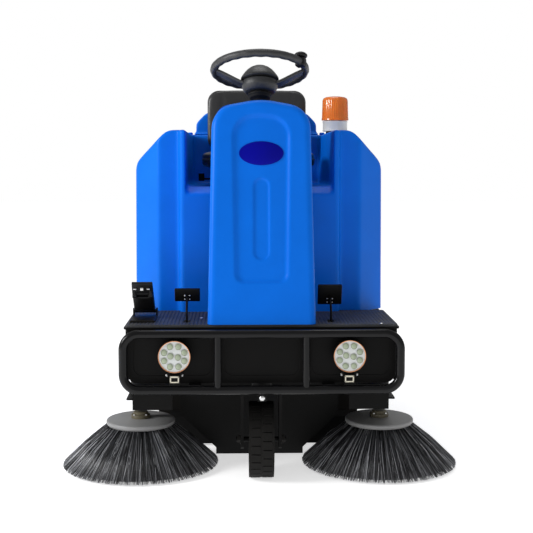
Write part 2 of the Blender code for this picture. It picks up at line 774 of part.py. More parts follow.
def side_brush(side_name, side):
    axis = Vector((0, -math.sin(BRUSH_TILT), math.cos(BRUSH_TILT)))
    centre = (side * BRUSH_X, BRUSH_Y, BRUSH_Z)
    disc = turned(f"side_brush_disc_{side_name}", [
        (0, 0.028), (0.032, 0.028), (0.034, 0.006), (0.110, 0.003), (DISC_R, -0.001), (DISC_R, -0.011),
        (0.116, -0.016), (0, -0.016),
    ], centre, axis, "grey_plastic", 30)
    droop = 0.1515
    bristles = turned(f"side_brush_bristles_{side_name}", [
        (0.112, -0.016 - GAP), (DISC_R, -0.020), (BRISTLE_R, -droop), (BRISTLE_R - 0.004, -droop - 0.007),
        (BRISTLE_R - 0.045, -droop - 0.007), (0.062, -0.016 - GAP),
    ], centre, axis, "bristle", 30)
    return disc, bristles


# Body


def body_form(name, thick, material=None):
    """The body's outer form with the seat recess cut out, thick metres inside the outer surface."""
    front = inset(rounded([
        (-BODY_HALF_LOW, 0.45, 0), (BODY_HALF_LOW, 0.45, 0), (BODY_HALF_HIGH, SHOULDER_Z, 0.06),
        (BODY_TOP_HALF, BODY_TOP, 0.05), (-BODY_TOP_HALF, BODY_TOP, 0.05),
        (-BODY_HALF_HIGH, SHOULDER_Z, 0.06),
    ], 3), thick)
    half, box_half = BODY_HALF_LOW + 0.002, SEAT_BOX_HALF
    left_side = [(box_half, SEAT_BOX_FRONT, 0.018), (box_half, WING_FRONT, 0),
                 (WING_CREASE, WING_FRONT, 0.015),
                 (half, WING_FRONT + 0.110, 0.03), (half, BODY_REAR - 0.070, 0.05),
                 (half - 0.070, BODY_REAR, 0.05)]
    plan = inset(rounded(left_side + [(-x, y, r) for x, y, r in reversed(left_side)], 3), thick)
    form = across_y(name, front, -0.60, 0.90, material)
    combine(form, across_z(name + "_plan", plan, 0.30, 1.40), "INTERSECT")
    recess = box(
        name + "_recess", (-RECESS_HALF - thick, -0.60, SEAT_Z - thick),
        (RECESS_HALF + thick, RECESS_REAR + thick, 1.4)
    )
    slope = [(y + 0.6 * thick, z - 0.8 * thick) for y, z in SEAT_EDGE]
    edge = across_x(name + "_edge", [*slope, (-0.60, 1.020), (-0.60, 0.900)], -RECESS_HALF - thick,
                    RECESS_HALF + thick)
    return cut(form, recess, edge)


def body_shell():
    shell = body_form("body_shell", 0, "blue_plastic")
    hollow = body_form("body_hollow", WALL)
    below = box("body_below", (-0.6, -0.6, 0.2), (0.6, 0.9, BODY_LOW))
    (x_low, y_low), (x_high, y_high) = HOOD_OPENING
    mouth = box("hood_mouth", (x_low, y_low, 1.1), (x_high, y_high, 1.3))
    return cut(shell, hollow, below, mouth)


def hood_form(name, thick, material=None):
    front = inset(rounded([
        (-0.249, 1.100, 0), (0.249, 1.100, 0), (0.249, 1.240, 0.030), (0.203, 1.288, 0.050),
        (-0.203, 1.288, 0.050),
        (-0.249, 1.240, 0.030),
    ]), thick)
    side = inset(rounded([
        (0.258, 1.100, 0), (0.700, 1.100, 0), (0.700, 1.215, 0.030), (0.540, 1.288, 0.080),
        (0.270, 1.288, 0.020),
    ]), thick)
    form = across_y(name, front, 0.10, 0.90, material)
    combine(form, across_x(name + "_side", side, -0.4, 0.4), "INTERSECT")
    return form


def rear_hood():
    hood = hood_form("rear_hood", 0, "blue_plastic")
    below = box("hood_below", (-0.4, 0.0, 1.0), (0.4, 1.0, 1.196))
    cut(hood, below)
    join(hood, box("hood_flange", (-0.257, 0.248, BODY_TOP + GAP), (0.257, 0.712, 1.1985)))
    return cut(hood, hood_form("hood_hollow", WALL))


# Seat


def seat_cushion():
    return box("seat_cushion", *CUSHION, "vinyl", 0.028, 3)


def lean_back(obj):
    turn = Matrix.Rotation(-BACK_LEAN, 4, "X")
    pivot = Matrix.Translation((0, BACK[0][1], BACK[0][2]))
    bpy.context.view_layer.update()
    obj.matrix_world = pivot @ turn @ pivot.inverted() @ obj.matrix_world


def seat_back():
    back = box("seat_back", *BACK, "vinyl", 0.026, 3)
    lean_back(back)
    return back


def seat_pan():
    pan = box("seat_pan", (-0.170, -0.220, SEAT_SLIDE_Z), (0.170, 0.120, 1.0497), "black_steel")
    foot = box("back_foot", (-0.110, 0.110, 1.0300), (0.110, 0.212, 1.0380))
    stay = box("back_stay", (-0.110, 0.1985, 1.0450), (0.110, 0.2045, 1.2500))
    heel = box("back_heel", (-0.110, 0.1900, 1.0320), (0.110, 0.2100, 1.0800))
    lean_back(stay)
    return join(pan, foot, heel, stay)


def seat_rails():
    rails = box("seat_rails", (-0.180, -0.300, SEAT_Z + GAP), (0.180, 0.150, 0.998), "black_steel")
    for side in (-1, 1):
        low, high = sorted((side * 0.118, side * 0.140))
        join(rails, box("rail_strip", (low, -0.300, 0.996), (high, 0.150, SEAT_SLIDE_Z - GAP)))
    return rails


def seat_lever():
    lever = box("seat_lever", (-0.222, -0.186, 1.0120), (-0.1406, -0.176, 1.0190), "black_steel", 0.002)
    return join(lever, cylinder("lever_grip", (-0.214, -0.181, 1.008), (-0.214, -0.181, 1.036), 0.011,
                                sides=12))


# Hopper and inner units


def hopper():
    bin_box = box(
        "hopper", (-HOPPER_HALF, HOPPER_FRONT, HOPPER_LOW), (HOPPER_HALF, HOPPER_REAR, HOPPER_TOP),
        "black_steel"
    )
    wall = 0.004
    inside = box(
        "hopper_inside", (-HOPPER_HALF + wall, HOPPER_FRONT + wall, HOPPER_LOW + wall),
        (HOPPER_HALF - wall, HOPPER_REAR - wall, HOPPER_TOP + 0.1),
    )
    mouth = box("hopper_mouth", (-HOPPER_HALF + wall, HOPPER_FRONT - 0.05, 0.200),
                (HOPPER_HALF - wall, 0.30, 0.60))
    cut(bin_box, inside, mouth)
    for side in (-1, 1):
        low, high = sorted((side * (HOPPER_HALF - 0.002), side * 0.294))
        join(bin_box, box("hopper_runner", (low, 0.300, HOPPER_RAIL_Z + GAP),
                          (high, 0.740, HOPPER_RAIL_Z + 0.006)))
    grip_y = REAR_Y - 0.0074
    path = [(-0.11, HOPPER_REAR - 0.002, 0.34), (-0.11, grip_y - 0.008, 0.34), (-0.102, grip_y, 0.34),
            (0.102, grip_y, 0.34), (0.11, grip_y - 0.008, 0.34), (0.11, HOPPER_REAR - 0.002, 0.34)]
    return join(bin_box, tube("hopper_handle", path, 0.008))


def battery_pack():
    pack = box("battery_pack", (-0.240, -0.340, FRAME_TOP + GAP), (0.240, 0.078, 0.800), "black_plastic",
               0.008)
    for x in (-0.12, 0, 0.12):
        cut(pack, box("cell_groove", (x - 0.003, -0.4, 0.780), (x + 0.003, 0.2, 0.82)))
    return pack


def motor_controller():
    case = box("motor_controller", (-0.420, -0.150, 0.560), (-0.360, 0.080, 0.720), "dark_steel")
    for i in range(5):
        y = -0.130 + i * 0.044
        join(case, box("cooling_fin", (-0.365, y, 0.565), (-0.345, y + 0.012, 0.715)))
    return case


def dust_filter():
    return box("dust_filter", (-0.200, 0.280, FRAME_TOP + GAP), (0.200, 0.640, 0.720), "filter_paper", 0.010)


# Beacon, lights and pedals


BEACON = (0.312, 0.100)


def beacon_base():
    profile = [(0, 0.052), (0.050, 0.052), (0.050, 0.010), (0.036, 0.009), (0.036, 0), (0, 0)]
    return turned("beacon_base", profile, (*BEACON, BODY_TOP + GAP), material="pale_plastic", steps=24)


def beacon_lens():
    profile = [(0, 0.096), (0.030, 0.094), (0.044, 0.086), (0.0475, 0.076), (0.051, 0.012), (0.0535, 0.010),
               (0.0535, 0), (0, 0)]
    return turned("beacon_lens", profile, (*BEACON, BODY_TOP + 0.0526), material="amber", steps=24)


def led_light(name, x):
    """A round head with two lugs below it, which clasp the bracket's tab."""
    profile = [(0, 0.018), (0.049, 0.018), (0.0525, 0.020), (LIGHT_R, 0.014), (LIGHT_R, -0.006),
               (0.040, -0.018),
               (0, -0.020)]
    light = turned(name, profile, (x, LIGHT_Y, LIGHT_Z), (0, -1, 0), "light_metal", 28)
    for side in (-1, 1):
        low, high = sorted((x + side * 0.0177, x + side * 0.0240))
        join(light, box("lug", (low, LIGHT_Y - 0.006, LIGHT_PIVOT_Z - 0.007), (high, LIGHT_Y + 0.006, 0.402)))
    return light


def led_bracket(name, x):
    """A short tab with a window, standing on the bumper's lower tube."""
    half, foot, top = 0.0172, BUMPER_LOW + BUMPER_R + GAP, LIGHT_PIVOT_Z + 0.005
    outline = [(x - half, foot), (x + half, foot), (x + half, top), (x - half, top)]
    tab = across_y(name, outline, LIGHT_Y - 0.010, LIGHT_Y + 0.010, "light_metal")
    return cut(tab, box("window", (x - 0.010, LIGHT_Y - 0.02, 0.359), (x + 0.010, LIGHT_Y + 0.02, 0.371)))


def foot_pedal(name, x, pad_half, pad_tall):
    """A bent stalk from a pivot boss under the deck to a pad that faces the rider."""
    y, z = PEDAL_PIVOT
    side = math.copysign(1, x)
    boss = cylinder(name, (x - side * 0.012, y, z), (side * (RAIL_IN - 0.001), y, z), 0.012, "black_steel",
                    16)
    path = [(x, y, z), (x, y - 0.006, 0.568), (x, y + 0.010, 0.598), (x, y + 0.051, 0.6265)]
    pad = box("pad", (-pad_half, -0.006, -pad_tall / 2), (pad_half, 0.006, pad_tall / 2), round_by=0.003)
    pad.location = (x, y + 0.052, 0.628)
    pad.rotation_euler = (math.radians(20), 0, 0)
    return join(boss, tube("stalk", path, 0.0045), pad)


ACCELERATOR_X = -0.397
HEEL = (-0.560, 0.566)


def accelerator_base():
    x = ACCELERATOR_X
    base = box("accelerator_base", (x - 0.042, -0.700, MAT_TOP + GAP), (x + 0.042, -0.545, 0.552),
               "dark_steel", 0.002)
    for side in (-1, 1):
        low, high = sorted((x + side * 0.037, x + side * 0.042))
        join(base, box("ear", (low, HEEL[0] - 0.012, 0.550), (high, HEEL[0] + 0.012, HEEL[1] + 0.010)))
    return base


def accelerator_pedal():
    """A long treadle, hinged at the heel, with a spring block below its toe."""
    x = ACCELERATOR_X
    y, z = HEEL
    toe_y, toe_z = -0.690, 0.672
    outline = [
        (y + 0.006, z - 0.006), (y + 0.006, z + 0.008), (toe_y, toe_z + 0.010), (toe_y - 0.006, toe_z),
        (toe_y + 0.014, toe_z - 0.030), (y - 0.04, z + 0.008),
    ]
    treadle = across_x("accelerator_pedal", outline, x - 0.0345, x + 0.0345, "black_plastic")
    return join(treadle, cylinder("heel_pin", (x - 0.0367, y, z), (x + 0.0367, y, z), 0.006, sides=12))


def build():
    chassis_frame()
    front_panel()
    front_bumper()
    platform_plate()
    floor_mat()
    column_front_cover()
    column_rear_cover()
    dashboard_panel()
    steering_gearbox()
    steering_boot()
    body_shell()
    brush_housing()
    main_brush_motor()
    battery_pack()
    motor_controller()
    dust_filter()
    beacon_base()
    beacon_lens()
    accelerator_base()
    seat_rails()

    foot, _ = on_dash(-0.095, 0.056)
    hang(joint_axis("key_axis", foot), key_switch())
    foot, _ = on_dash(0.095, 0.056)
    hang(joint_axis("stop_axis", foot), emergency_stop())
    steering = joint_axis("steering_axis", WHEEL_CENTRE)
    hang(steering, steering_wheel(), steering_shaft())
    horn = joint_axis("horn_axis", WHEEL_CENTRE)
    hang(horn, horn_button())
    spinner = joint_axis("spinner_axis", spinner_place())
    hang(spinner, spinner_knob())
    hang(steering, horn, spinner)

    fork = joint_axis("fork_axis", (0, STEER_Y, 0.45))
    hang(fork, front_fork())
    front = joint_axis("front_wheel_axis", (0, *FRONT_AXLE))
    hang(front, *front_wheel())
    hang(fork, front)

    hang(joint_axis("roller_axis", (0, *ROLLER)), main_brush())
    hang(joint_axis("flap_axis", (0, FLAP_Y, FLAP_PIVOT_Z)), front_flap())
    hang(joint_axis("hood_axis", (0, 0.712, BODY_TOP)), rear_hood())
    hang(joint_axis("seat_axis", (0, 0, SEAT_SLIDE_Z)), seat_cushion(), seat_back(), seat_pan())
    hang(joint_axis("lever_axis", (-0.142, -0.181, 1.0155)), seat_lever())
    hang(joint_axis("hopper_axis", (0, HOPPER_REAR, HOPPER_RAIL_Z)), hopper())
    hang(joint_axis("accelerator_axis", (ACCELERATOR_X, *HEEL)), accelerator_pedal())
    hang(joint_axis("brake_axis", (BRAKE_X, *PEDAL_PIVOT)), foot_pedal("brake_pedal", BRAKE_X, 0.043, 0.046))
    lifter = foot_pedal("flap_pedal", FLAP_PEDAL_X, 0.041, 0.072)
    hang(joint_axis("flap_pedal_axis", (FLAP_PEDAL_X, *PEDAL_PIVOT)), lifter)

    for side_name, side in SIDES:
        lower_skirt(f"lower_skirt_{side_name}", side)
        drive_motor(f"drive_motor_{side_name}", side)
        hang(joint_axis(f"rear_axis_{side_name}", (0, *REAR_AXLE)), *rear_wheel(side_name, side))
        arm = joint_axis(f"arm_axis_{side_name}", (side * 0.39, *ARM_PIVOT))
        hang(arm, side_arm(f"side_brush_arm_{side_name}", side))
        hang(arm, side_brush_motor(f"side_brush_motor_{side_name}", side))
        spin = joint_axis(f"side_brush_axis_{side_name}", (side * BRUSH_X, BRUSH_Y, BRUSH_Z))
        hang(spin, *side_brush(side_name, side))
        hang(arm, spin)
        x = side * LIGHT_X
        led_bracket(f"led_bracket_{side_name}", x)
        hang(joint_axis(f"light_axis_{side_name}", (x, LIGHT_Y, LIGHT_PIVOT_Z)),
             led_light(f"led_light_{side_name}", x))


build()
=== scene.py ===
"""Looks of the ride on sweeper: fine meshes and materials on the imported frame. Metres, +Z up, front at -Y."""

import json
import math
import random

import bmesh
import bpy
from mathutils import Matrix, Vector, noise


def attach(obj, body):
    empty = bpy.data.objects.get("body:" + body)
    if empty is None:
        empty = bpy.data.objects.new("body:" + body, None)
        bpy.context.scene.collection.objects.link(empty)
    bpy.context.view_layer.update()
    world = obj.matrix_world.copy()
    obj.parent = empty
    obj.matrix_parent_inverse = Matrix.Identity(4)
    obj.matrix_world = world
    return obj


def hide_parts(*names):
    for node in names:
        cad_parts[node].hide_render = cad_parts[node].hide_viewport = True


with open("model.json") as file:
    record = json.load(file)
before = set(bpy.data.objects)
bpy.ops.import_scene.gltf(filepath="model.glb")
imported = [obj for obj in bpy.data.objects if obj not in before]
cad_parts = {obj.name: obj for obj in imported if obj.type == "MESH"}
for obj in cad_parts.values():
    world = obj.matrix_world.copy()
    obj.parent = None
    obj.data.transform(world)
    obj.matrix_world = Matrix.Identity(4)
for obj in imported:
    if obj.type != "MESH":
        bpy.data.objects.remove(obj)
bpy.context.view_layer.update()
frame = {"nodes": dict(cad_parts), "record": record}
NODES = frame["nodes"]
SIDES = (("right", -1), ("left", 1))
BOTH = (-1, 1)
UP = Vector((0, 0, 1))
DOWN = (0, 0, -1)
LEVEL = Matrix.Identity(4)
TINY = 1e-7

# Places and sizes repeated from the CAD
LEAN = math.radians(8.3)
COLUMN_FRONT, DECK_Z = -0.765, 0.545
COLUMN_SEAM = 0.15  # from the face back to where the two covers meet
ON_DECK = (0, 0, DECK_Z + 0.0003)
WHEEL_TILT = math.radians(16.5)
WHEEL_CENTRE = Vector((0, -0.42, 1.398))
WHEEL_FRAME = Matrix.Translation(WHEEL_CENTRE) @ Matrix.Rotation(-WHEEL_TILT, 4, "X")
WHEEL_R, RIM_R = 0.16, 0.0145
FRONT_AXLE = Vector((0, -0.625, 0.13))
REAR_AXLE = Vector((0, 0.45, 0.15))
BRUSH_TILT = math.radians(1.5)
BRUSH_X, BRUSH_Y, BRUSH_Z = 0.424, -0.48, 0.17
LIGHT_X, LIGHT_Y, LIGHT_Z, LIGHT_PIVOT_Z = 0.286, -0.78, 0.445, 0.382
BUMPER_LOW, BUMPER_HIGH = 0.333, 0.518
ROLLER = Vector((0, 0.05, 0.144))
BODY_LOW = 0.5368
BRAKE_X, FLAP_PEDAL_X, ACCELERATOR_X = -0.25, 0.234, -0.397
BEACON = Vector((0.312, 0.1, 1.1923))

# Materials


def set_inputs(shader, **values):
    """Sets a node's inputs by name, with _ for each space."""
    for name, value in values.items():
        shader.inputs[name.replace("_", " ")].default_value = value


def node(tree, kind, **values):
    made = tree.nodes.new("ShaderNode" + kind)
    set_inputs(made, **values)
    return made


def principled(material):
    return material.node_tree.nodes["Principled BSDF"]


def surface(name, colour, roughness, metallic=0.0, grain=400.0, bump=0.05, mottle=0.12, coat=0.0, cells=False,
            shine=0.5):
    """A Principled surface with fine grain in its bump, mottled colour and uneven roughness."""
    material = bpy.data.materials.new(name)
    material.use_nodes = True
    tree = material.node_tree
    shader = principled(material)
    set_inputs(shader, Metallic=metallic, Coat_Weight=coat, Specular_IOR_Level=shine, Coat_Roughness=0.08)
    where = node(tree, "TexCoord")
    blotch = node(tree, "TexNoise", Scale=9.0, Detail=5.0)
    ramp = node(tree, "ValToRGB")
    for stop, (at, scale) in zip(ramp.color_ramp.elements, ((0.3, 1 - mottle), (0.7, 1 + mottle))):
        stop.position = at
        stop.color = (*[min(1.0, c * scale) for c in colour], 1)
    rough = node(tree, "MapRange", To_Min=max(0.02, roughness - 0.05), To_Max=min(1.0, roughness + 0.06))
    fine = node(tree, "TexVoronoi" if cells else "TexNoise", Scale=grain)
    lift = node(tree, "Bump", Strength=bump, Distance=0.001)
    for source, output, target, entry in (
        (where, "Object", blotch, "Vector"),
        (blotch, "Fac", ramp, "Fac"),
        (ramp, "Color", shader, "Base Color"),
        (blotch, "Fac", rough, "Value"),
        (rough, "Result", shader, "Roughness"),
        (where, "Object", fine, "Vector"),
        (fine, "Distance" if cells else "Fac", lift, "Height"),
        (lift, "Normal", shader, "Normal"),
    ):
        tree.links.new(source.outputs[output], target.inputs[entry])
    return material


def fibre_surface(name, dark, middle, pale_as_highlight):
    """Bristles: each fibre takes its own grey at random, most of them dark and a few pale; the pale fibres are
    painted highlight streaks.
    """
    material = surface(name, dark, 0.36, grain=900, bump=0.1)
    tree = material.node_tree
    island = node(tree, "NewGeometry")
    ramp = node(tree, "ValToRGB")
    stops = ramp.color_ramp.elements
    stops[0].color = (*dark, 1)
    stops[1].color = (*pale_as_highlight, 1)
    for at, colour in ((0.42, dark), (0.78, middle)):
        stops.new(at).color = (*colour, 1)
    tree.links.new(island.outputs["Random Per Island"], ramp.inputs["Fac"])
    tree.links.new(ramp.outputs["Color"], principled(material).inputs["Base Color"])
    return material


def amber_surface():
    material = surface("amber_lens", (0.95, 0.22, 0.012), 0.2, grain=200, bump=0.02, mottle=0.05, coat=0.4)
    set_inputs(principled(material), Transmission_Weight=0.35, Subsurface_Weight=0.25,
               Subsurface_Radius=(0.03, 0.012, 0.004))
    return material


BLUE = surface("blue_rotomoulded", (0.0008, 0.142, 0.7), 0.34, grain=260, bump=0.035, mottle=0.04, shine=0.1)
NAVY = surface("navy_badge", (0.001, 0.0015, 0.25), 0.35, grain=300, bump=0.02, shine=0.08)
STEEL_BLACK = surface("black_powder_coat", (0.0035, 0.0033, 0.0032), 0.42, grain=700, bump=0.1, mottle=0.25,
                      shine=0.1)
GLOSS_BLACK = surface("gloss_black_paint", (0.0035, 0.0035, 0.004), 0.22, grain=350, bump=0.03, mottle=0.2,
                      shine=0.22)
STEEL_DARK = surface("dark_coated_steel", (0.012, 0.011, 0.01), 0.45, 0.2, grain=500, bump=0.08,
                     mottle=0.25, shine=0.2)
STEEL_BRIGHT = surface("bright_steel", (0.72, 0.72, 0.72), 0.28, 1.0, grain=600, bump=0.03)
CREAM = surface("cream_steel", (0.62, 0.58, 0.47), 0.4, grain=500, bump=0.05)
RIM_PAINT = surface("rim_paint", (0.035, 0.035, 0.037), 0.4, grain=500, bump=0.08)
PLASTIC = surface("grained_black_plastic", (0.005, 0.005, 0.0055), 0.38, grain=1100, bump=0.16, cells=True,
                  shine=0.25)
GRIP = surface("grained_wheel_grip", (0.022, 0.023, 0.025), 0.42, grain=700, bump=0.3, cells=True, shine=0.55)
RUBBER = surface("black_rubber", (0.005, 0.005, 0.005), 0.6, grain=800, bump=0.15, mottle=0.25, shine=0.2)
MAT = surface("mat_rubber", (0.04, 0.041, 0.044), 0.55, grain=900, bump=0.2, mottle=0.3, shine=0.4)
TYRE = surface("tyre_rubber", (0.007, 0.0065, 0.006), 0.7, grain=500, bump=0.2, mottle=0.35, shine=0.15)
VINYL = surface("black_vinyl", (0.02, 0.02, 0.021), 0.34, grain=650, bump=0.2, cells=True, shine=0.5)
DISC = surface("grey_disc_plastic", (0.25, 0.25, 0.25), 0.45, grain=700, bump=0.12, mottle=0.12)
TAN = surface("tan_hub", (0.11, 0.095, 0.055), 0.5, grain=500, bump=0.1)
PALE = surface("pale_plastic", (0.66, 0.67, 0.67), 0.35, grain=500, bump=0.05, mottle=0.04)
RED = surface("red_plastic", (0.55, 0.01, 0.01), 0.3, grain=500, bump=0.04)
PAPER = surface("filter_paper", (0.6, 0.55, 0.42), 0.85, grain=300, bump=0.3)
REFLECTOR = surface("reflector", (0.58, 0.6, 0.59), 0.3, 0.45, grain=300, bump=0.05, mottle=0.03)
DIODE = surface("diode", (0.33, 0.38, 0.27), 0.3, grain=900, bump=0.1)
COPPER = surface("copper_ring", (0.75, 0.33, 0.15), 0.3, 0.6, grain=500, bump=0.05)
# The dark and middle greys are the fibres' own tones; the pale grey is a painted highlight that stands in for
# streaks of light along the bristles.
FIBRE = fibre_surface("bristle_fibre", (0.004, 0.004, 0.005), (0.13, 0.134, 0.146), (0.7, 0.71, 0.75))
AMBER = amber_surface()

SLOT_FINISH = {
    "blue_plastic": BLUE, "black_steel": STEEL_BLACK, "bumper_paint": GLOSS_BLACK, "dark_steel": STEEL_DARK,
    "cream_steel": CREAM, "rim_paint": RIM_PAINT, "light_housing": STEEL_BLACK, "black_plastic": PLASTIC,
    "rubber": RUBBER, "tyre": TYRE, "vinyl": VINYL, "grey_plastic": DISC, "bristle": FIBRE,
    "steel": STEEL_BRIGHT,
    "amber": AMBER, "pale_plastic": PALE, "red_plastic": RED, "filter_paper": PAPER,
}


def soften(obj, width, degrees):
    """A narrow bevel on edges sharper than this angle."""
    edge = obj.modifiers.new("soft_edges", "BEVEL")
    edge.width = width
    edge.segments = 2
    edge.limit_method = "ANGLE"
    edge.angle_limit = math.radians(degrees)
    edge.use_clamp_overlap = True


def finish_cad_nodes():
    """Every CAD node takes its slot's material, and its plain edges are softened."""
    for part in frame["record"]["subparts"]:
        cad_node = NODES[part["node"]]
        cad_node.data.materials.clear()
        cad_node.data.materials.append(SLOT_FINISH[part["material_slot"]])
        soften(cad_node, 0.0012, 40)


# Shape helpers


def polar(radius, angle):
    return radius * math.cos(angle), radius * math.sin(angle)


def circle(radius, count, shift=0.0):
    """Evenly spaced points; the first stands shift steps from the X axis."""
    return [polar(radius, math.tau * (i + shift) / count) for i in range(count)]


def bridge(made, first, second):
    """Faces between two rings of as many points."""
    for k, corner in enumerate(first):
        j = (k + 1) % len(first)
        made.faces.new((corner, first[j], second[j], second[k]))


def lathe(made, profile, place, steps=48):
    """Turns a profile of (radius, height) points, down its outer side, about the local Z axis."""
    rings = []
    for radius, height in profile:
        ring = [(0, 0)] if radius < TINY else circle(radius, steps)
        rings.append([made.verts.new(place @ Vector((x, y, height))) for x, y in ring])
    closed = len(rings[0]) > 1 and len(rings[-1]) > 1
    pairs = list(zip(rings, rings[1:])) + ([(rings[-1], rings[0])] if closed else [])
    for upper, lower in pairs:
        for i in range(steps):
            j = (i + 1) % steps
            if len(upper) == 1:
                made.faces.new((upper[0], lower[i], lower[j]))
            elif len(lower) == 1:
                made.faces.new((upper[j], upper[i], lower[0]))
            else:
                made.faces.new((upper[j], upper[i], lower[i], lower[j]))


def block(made, low, high, place=LEVEL, round_by=0.002, segments=2):
    low, high = Vector(low), Vector(high)
    part = bmesh.new()
    bmesh.ops.create_cube(part, size=1)
    bmesh.ops.scale(part, vec=high - low, verts=part.verts)
    if round_by:
        bmesh.ops.bevel(part, geom=part.edges[:], offset=round_by, segments=segments, profile=0.5,
                        affect="EDGES")
    bmesh.ops.transform(part, matrix=place @ Matrix.Translation((low + high) / 2), verts=part.verts)
    merge(made, part)


def merge(made, part):
    mesh = bpy.data.meshes.new("part")
    part.to_mesh(mesh)
    part.free()
    made.from_mesh(mesh)
    bpy.data.meshes.remove(mesh)


def aim(start, end):
    """A matrix at start whose local Z points to end."""
    start, end = Vector(start), Vector(end)
    return Matrix.Translation(start) @ (end - start).to_track_quat("Z", "Y").to_matrix().to_4x4()


def rod(made, start, end, radius, steps=20, edge=0.0006):
    tall = (Vector(end) - Vector(start)).length
    edge = min(edge, radius / 3, tall / 3)
    profile = [(0, tall), (radius - edge, tall), (radius, tall - edge), (radius, edge), (radius - edge, 0),
               (0, 0)]
    lathe(made, profile, aim(start, end), steps)


def bolt(made, head, out, radius, tall, dome=False):
    """A hexagon head with a washer, or a dome, standing on a face at head and pointing out."""
    place = aim(head, Vector(head) + Vector(out))
    if dome:
        profile = [(0, tall), (radius * 0.45, tall * 0.93), (radius * 0.8, tall * 0.65), (radius, tall * 0.1),
                   (radius, 0), (0, 0)]
        lathe(made, profile, place, 20)
        return
    lathe(made, [(0, 0.0012), (radius * 1.35, 0.0012), (radius * 1.35, 0), (0, 0)], place, 20)
    lathe(made, [(0, tall + 0.001), (radius * 0.85, tall + 0.001), (radius, tall), (radius, 0.001),
                 (0, 0.001)],
          place, 6)


def bolts(name, body, heads, radius, tall, dome=False):
    """A piece made of bright bolts, from the (head, out) of each."""
    made = bmesh.new()
    for head, out in heads:
        bolt(made, head, out, radius, tall, dome)
    piece(name, made, STEEL_BRIGHT, body)


def rectangle(low, high, radius):
    """Corners for rounded(), anticlockwise from the low one."""
    return [(low[0], low[1], radius), (high[0], low[1], radius), (high[0], high[1], radius),
            (low[0], high[1], radius)]


def rounded(corners, steps=6):
    """An outline from (x, y, radius) corners, each rounded by an arc where its radius isn't 0."""
    outline = []
    for i, (x, y, radius) in enumerate(corners):
        here = Vector((x, y))
        if not radius:
            outline.append((x, y))
            continue
        before = (Vector(corners[i - 1][:2]) - here).normalized()
        after = (Vector(corners[(i + 1) % len(corners)][:2]) - here).normalized()
        half = before.angle(after) / 2
        middle = here + (before + after).normalized() * radius / math.sin(half)
        first = here + before * radius / math.tan(half) - middle
        turn = first.angle_signed(here + after * radius / math.tan(half) - middle)
        for k in range(steps + 1):
            outline.append(tuple(middle + Matrix.Rotation(-turn * k / steps, 2) @ first))
    return outline


def prism(made, outline, low, high, place, round_by=0.0, segments=2):
    """An outline in the local XY plane, reaching from z = low to z = high, with its rims rounded."""
    part = bmesh.new()
    face = part.faces.new([part.verts.new((x, y, low)) for x, y in outline])
    grown = bmesh.ops.extrude_face_region(part, geom=[face])["geom"]
    raised = [v for v in grown if isinstance(v, bmesh.types.BMVert)]
    bmesh.ops.translate(part, vec=(0, 0, high - low), verts=raised)
    bmesh.ops.recalc_face_normals(part, faces=part.faces)
    if round_by:
        rims = [e for e in part.edges if abs(e.verts[0].co.z - e.verts[1].co.z) < TINY]
        bmesh.ops.bevel(part, geom=rims, offset=round_by, segments=segments, profile=0.5, affect="EDGES")
    bmesh.ops.transform(part, matrix=place, verts=part.verts)
    merge(made, part)


def sweep(made, points, radii, sides=10, closed=False):
    """A tube through the points; radii is one number or one per point."""
    points = [Vector(p) for p in points]
    count = len(points)
    if isinstance(radii, (int, float)):
        radii = [radii] * count
    rings = []
    across = None
    for i, here in enumerate(points):
        ahead = points[(i + 1) % count] if closed or i < count - 1 else here
        behind = points[i - 1] if closed or i else here
        along = (ahead - behind).normalized()
        if across is None:
            across = along.orthogonal().normalized()
        across = (across - along * across.dot(along)).normalized()
        other = along.cross(across)
        rings.append([
            made.verts.new(here + (across * math.cos(a) + other * math.sin(a)) * radii[i])
            for a in (math.tau * k / sides for k in range(sides))
        ])
    for first, second in zip(rings, rings[1:] + (rings[:1] if closed else [])):
        bridge(made, first, second)
    if not closed:
        made.faces.new(rings[0][::-1])
        made.faces.new(rings[-1])


def offset(outline, grow):
    """The anticlockwise outline moved outward by grow along each point's own normal."""
    moved = []
    for i, point in enumerate(outline):
        along = Vector(outline[(i + 1) % len(outline)]) - Vector(outline[i - 1])
        normal = Vector((along.y, -along.x)).normalized()
        moved.append(tuple(Vector(point) + normal * grow))
    return moved


def funnel(made, outline, low, high, grow, place):
    """A prism that widens by grow from z = low to z = high."""
    wide = offset(outline, grow)
    first = [made.verts.new(place @ Vector((x, y, low))) for x, y in outline]
    last = [made.verts.new(place @ Vector((x, y, high))) for x, y in wide]
    for i in range(len(outline)):
        j = (i + 1) % len(outline)
        made.faces.new((first[i], first[j], last[j], last[i]))
    made.faces.new(first[::-1])
    made.faces.new(last)


FRONT_PLANE = Matrix(((1, 0, 0, 0), (0, 0, -1, 0), (0, 1, 0, 0),
                      (0, 0, 0, 1)))  # local (x, y, z) to (x, -z, y)
SIDE_PLANE = Matrix(((0, 0, 1, 0), (1, 0, 0, 0), (0, 1, 0, 0), (0, 0, 0, 1)))  # local (x, y, z) to (z, x, y)


def placed(name, data):
    """A new object in the scene."""
    obj = bpy.data.objects.new(name, data)
    bpy.context.scene.collection.objects.link(obj)
    return obj


def mesh_object(name, made):
    """Makes the bmesh an object in the scene."""
    bmesh.ops.recalc_face_normals(made, faces=made.faces)
    mesh = bpy.data.meshes.new(name)
    made.to_mesh(mesh)
    made.free()
    return placed(name, mesh)


def piece(name, made, material, body, replaces=(), sharp=35):
    """Makes the bmesh a piece that rides on a body."""
    obj = mesh_object(name, made)
    obj.data.shade_smooth()
    obj.data.set_sharp_from_angle(angle=math.radians(sharp))
    return adopt(obj, material, body, replaces)


def adopt(obj, material, body, replaces=()):
    """Makes the object a piece that rides on a body."""
    obj.data.materials.clear()
    obj.data.materials.append(material)
    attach(obj, body)
    if replaces:
        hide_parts(*replaces)
    return obj


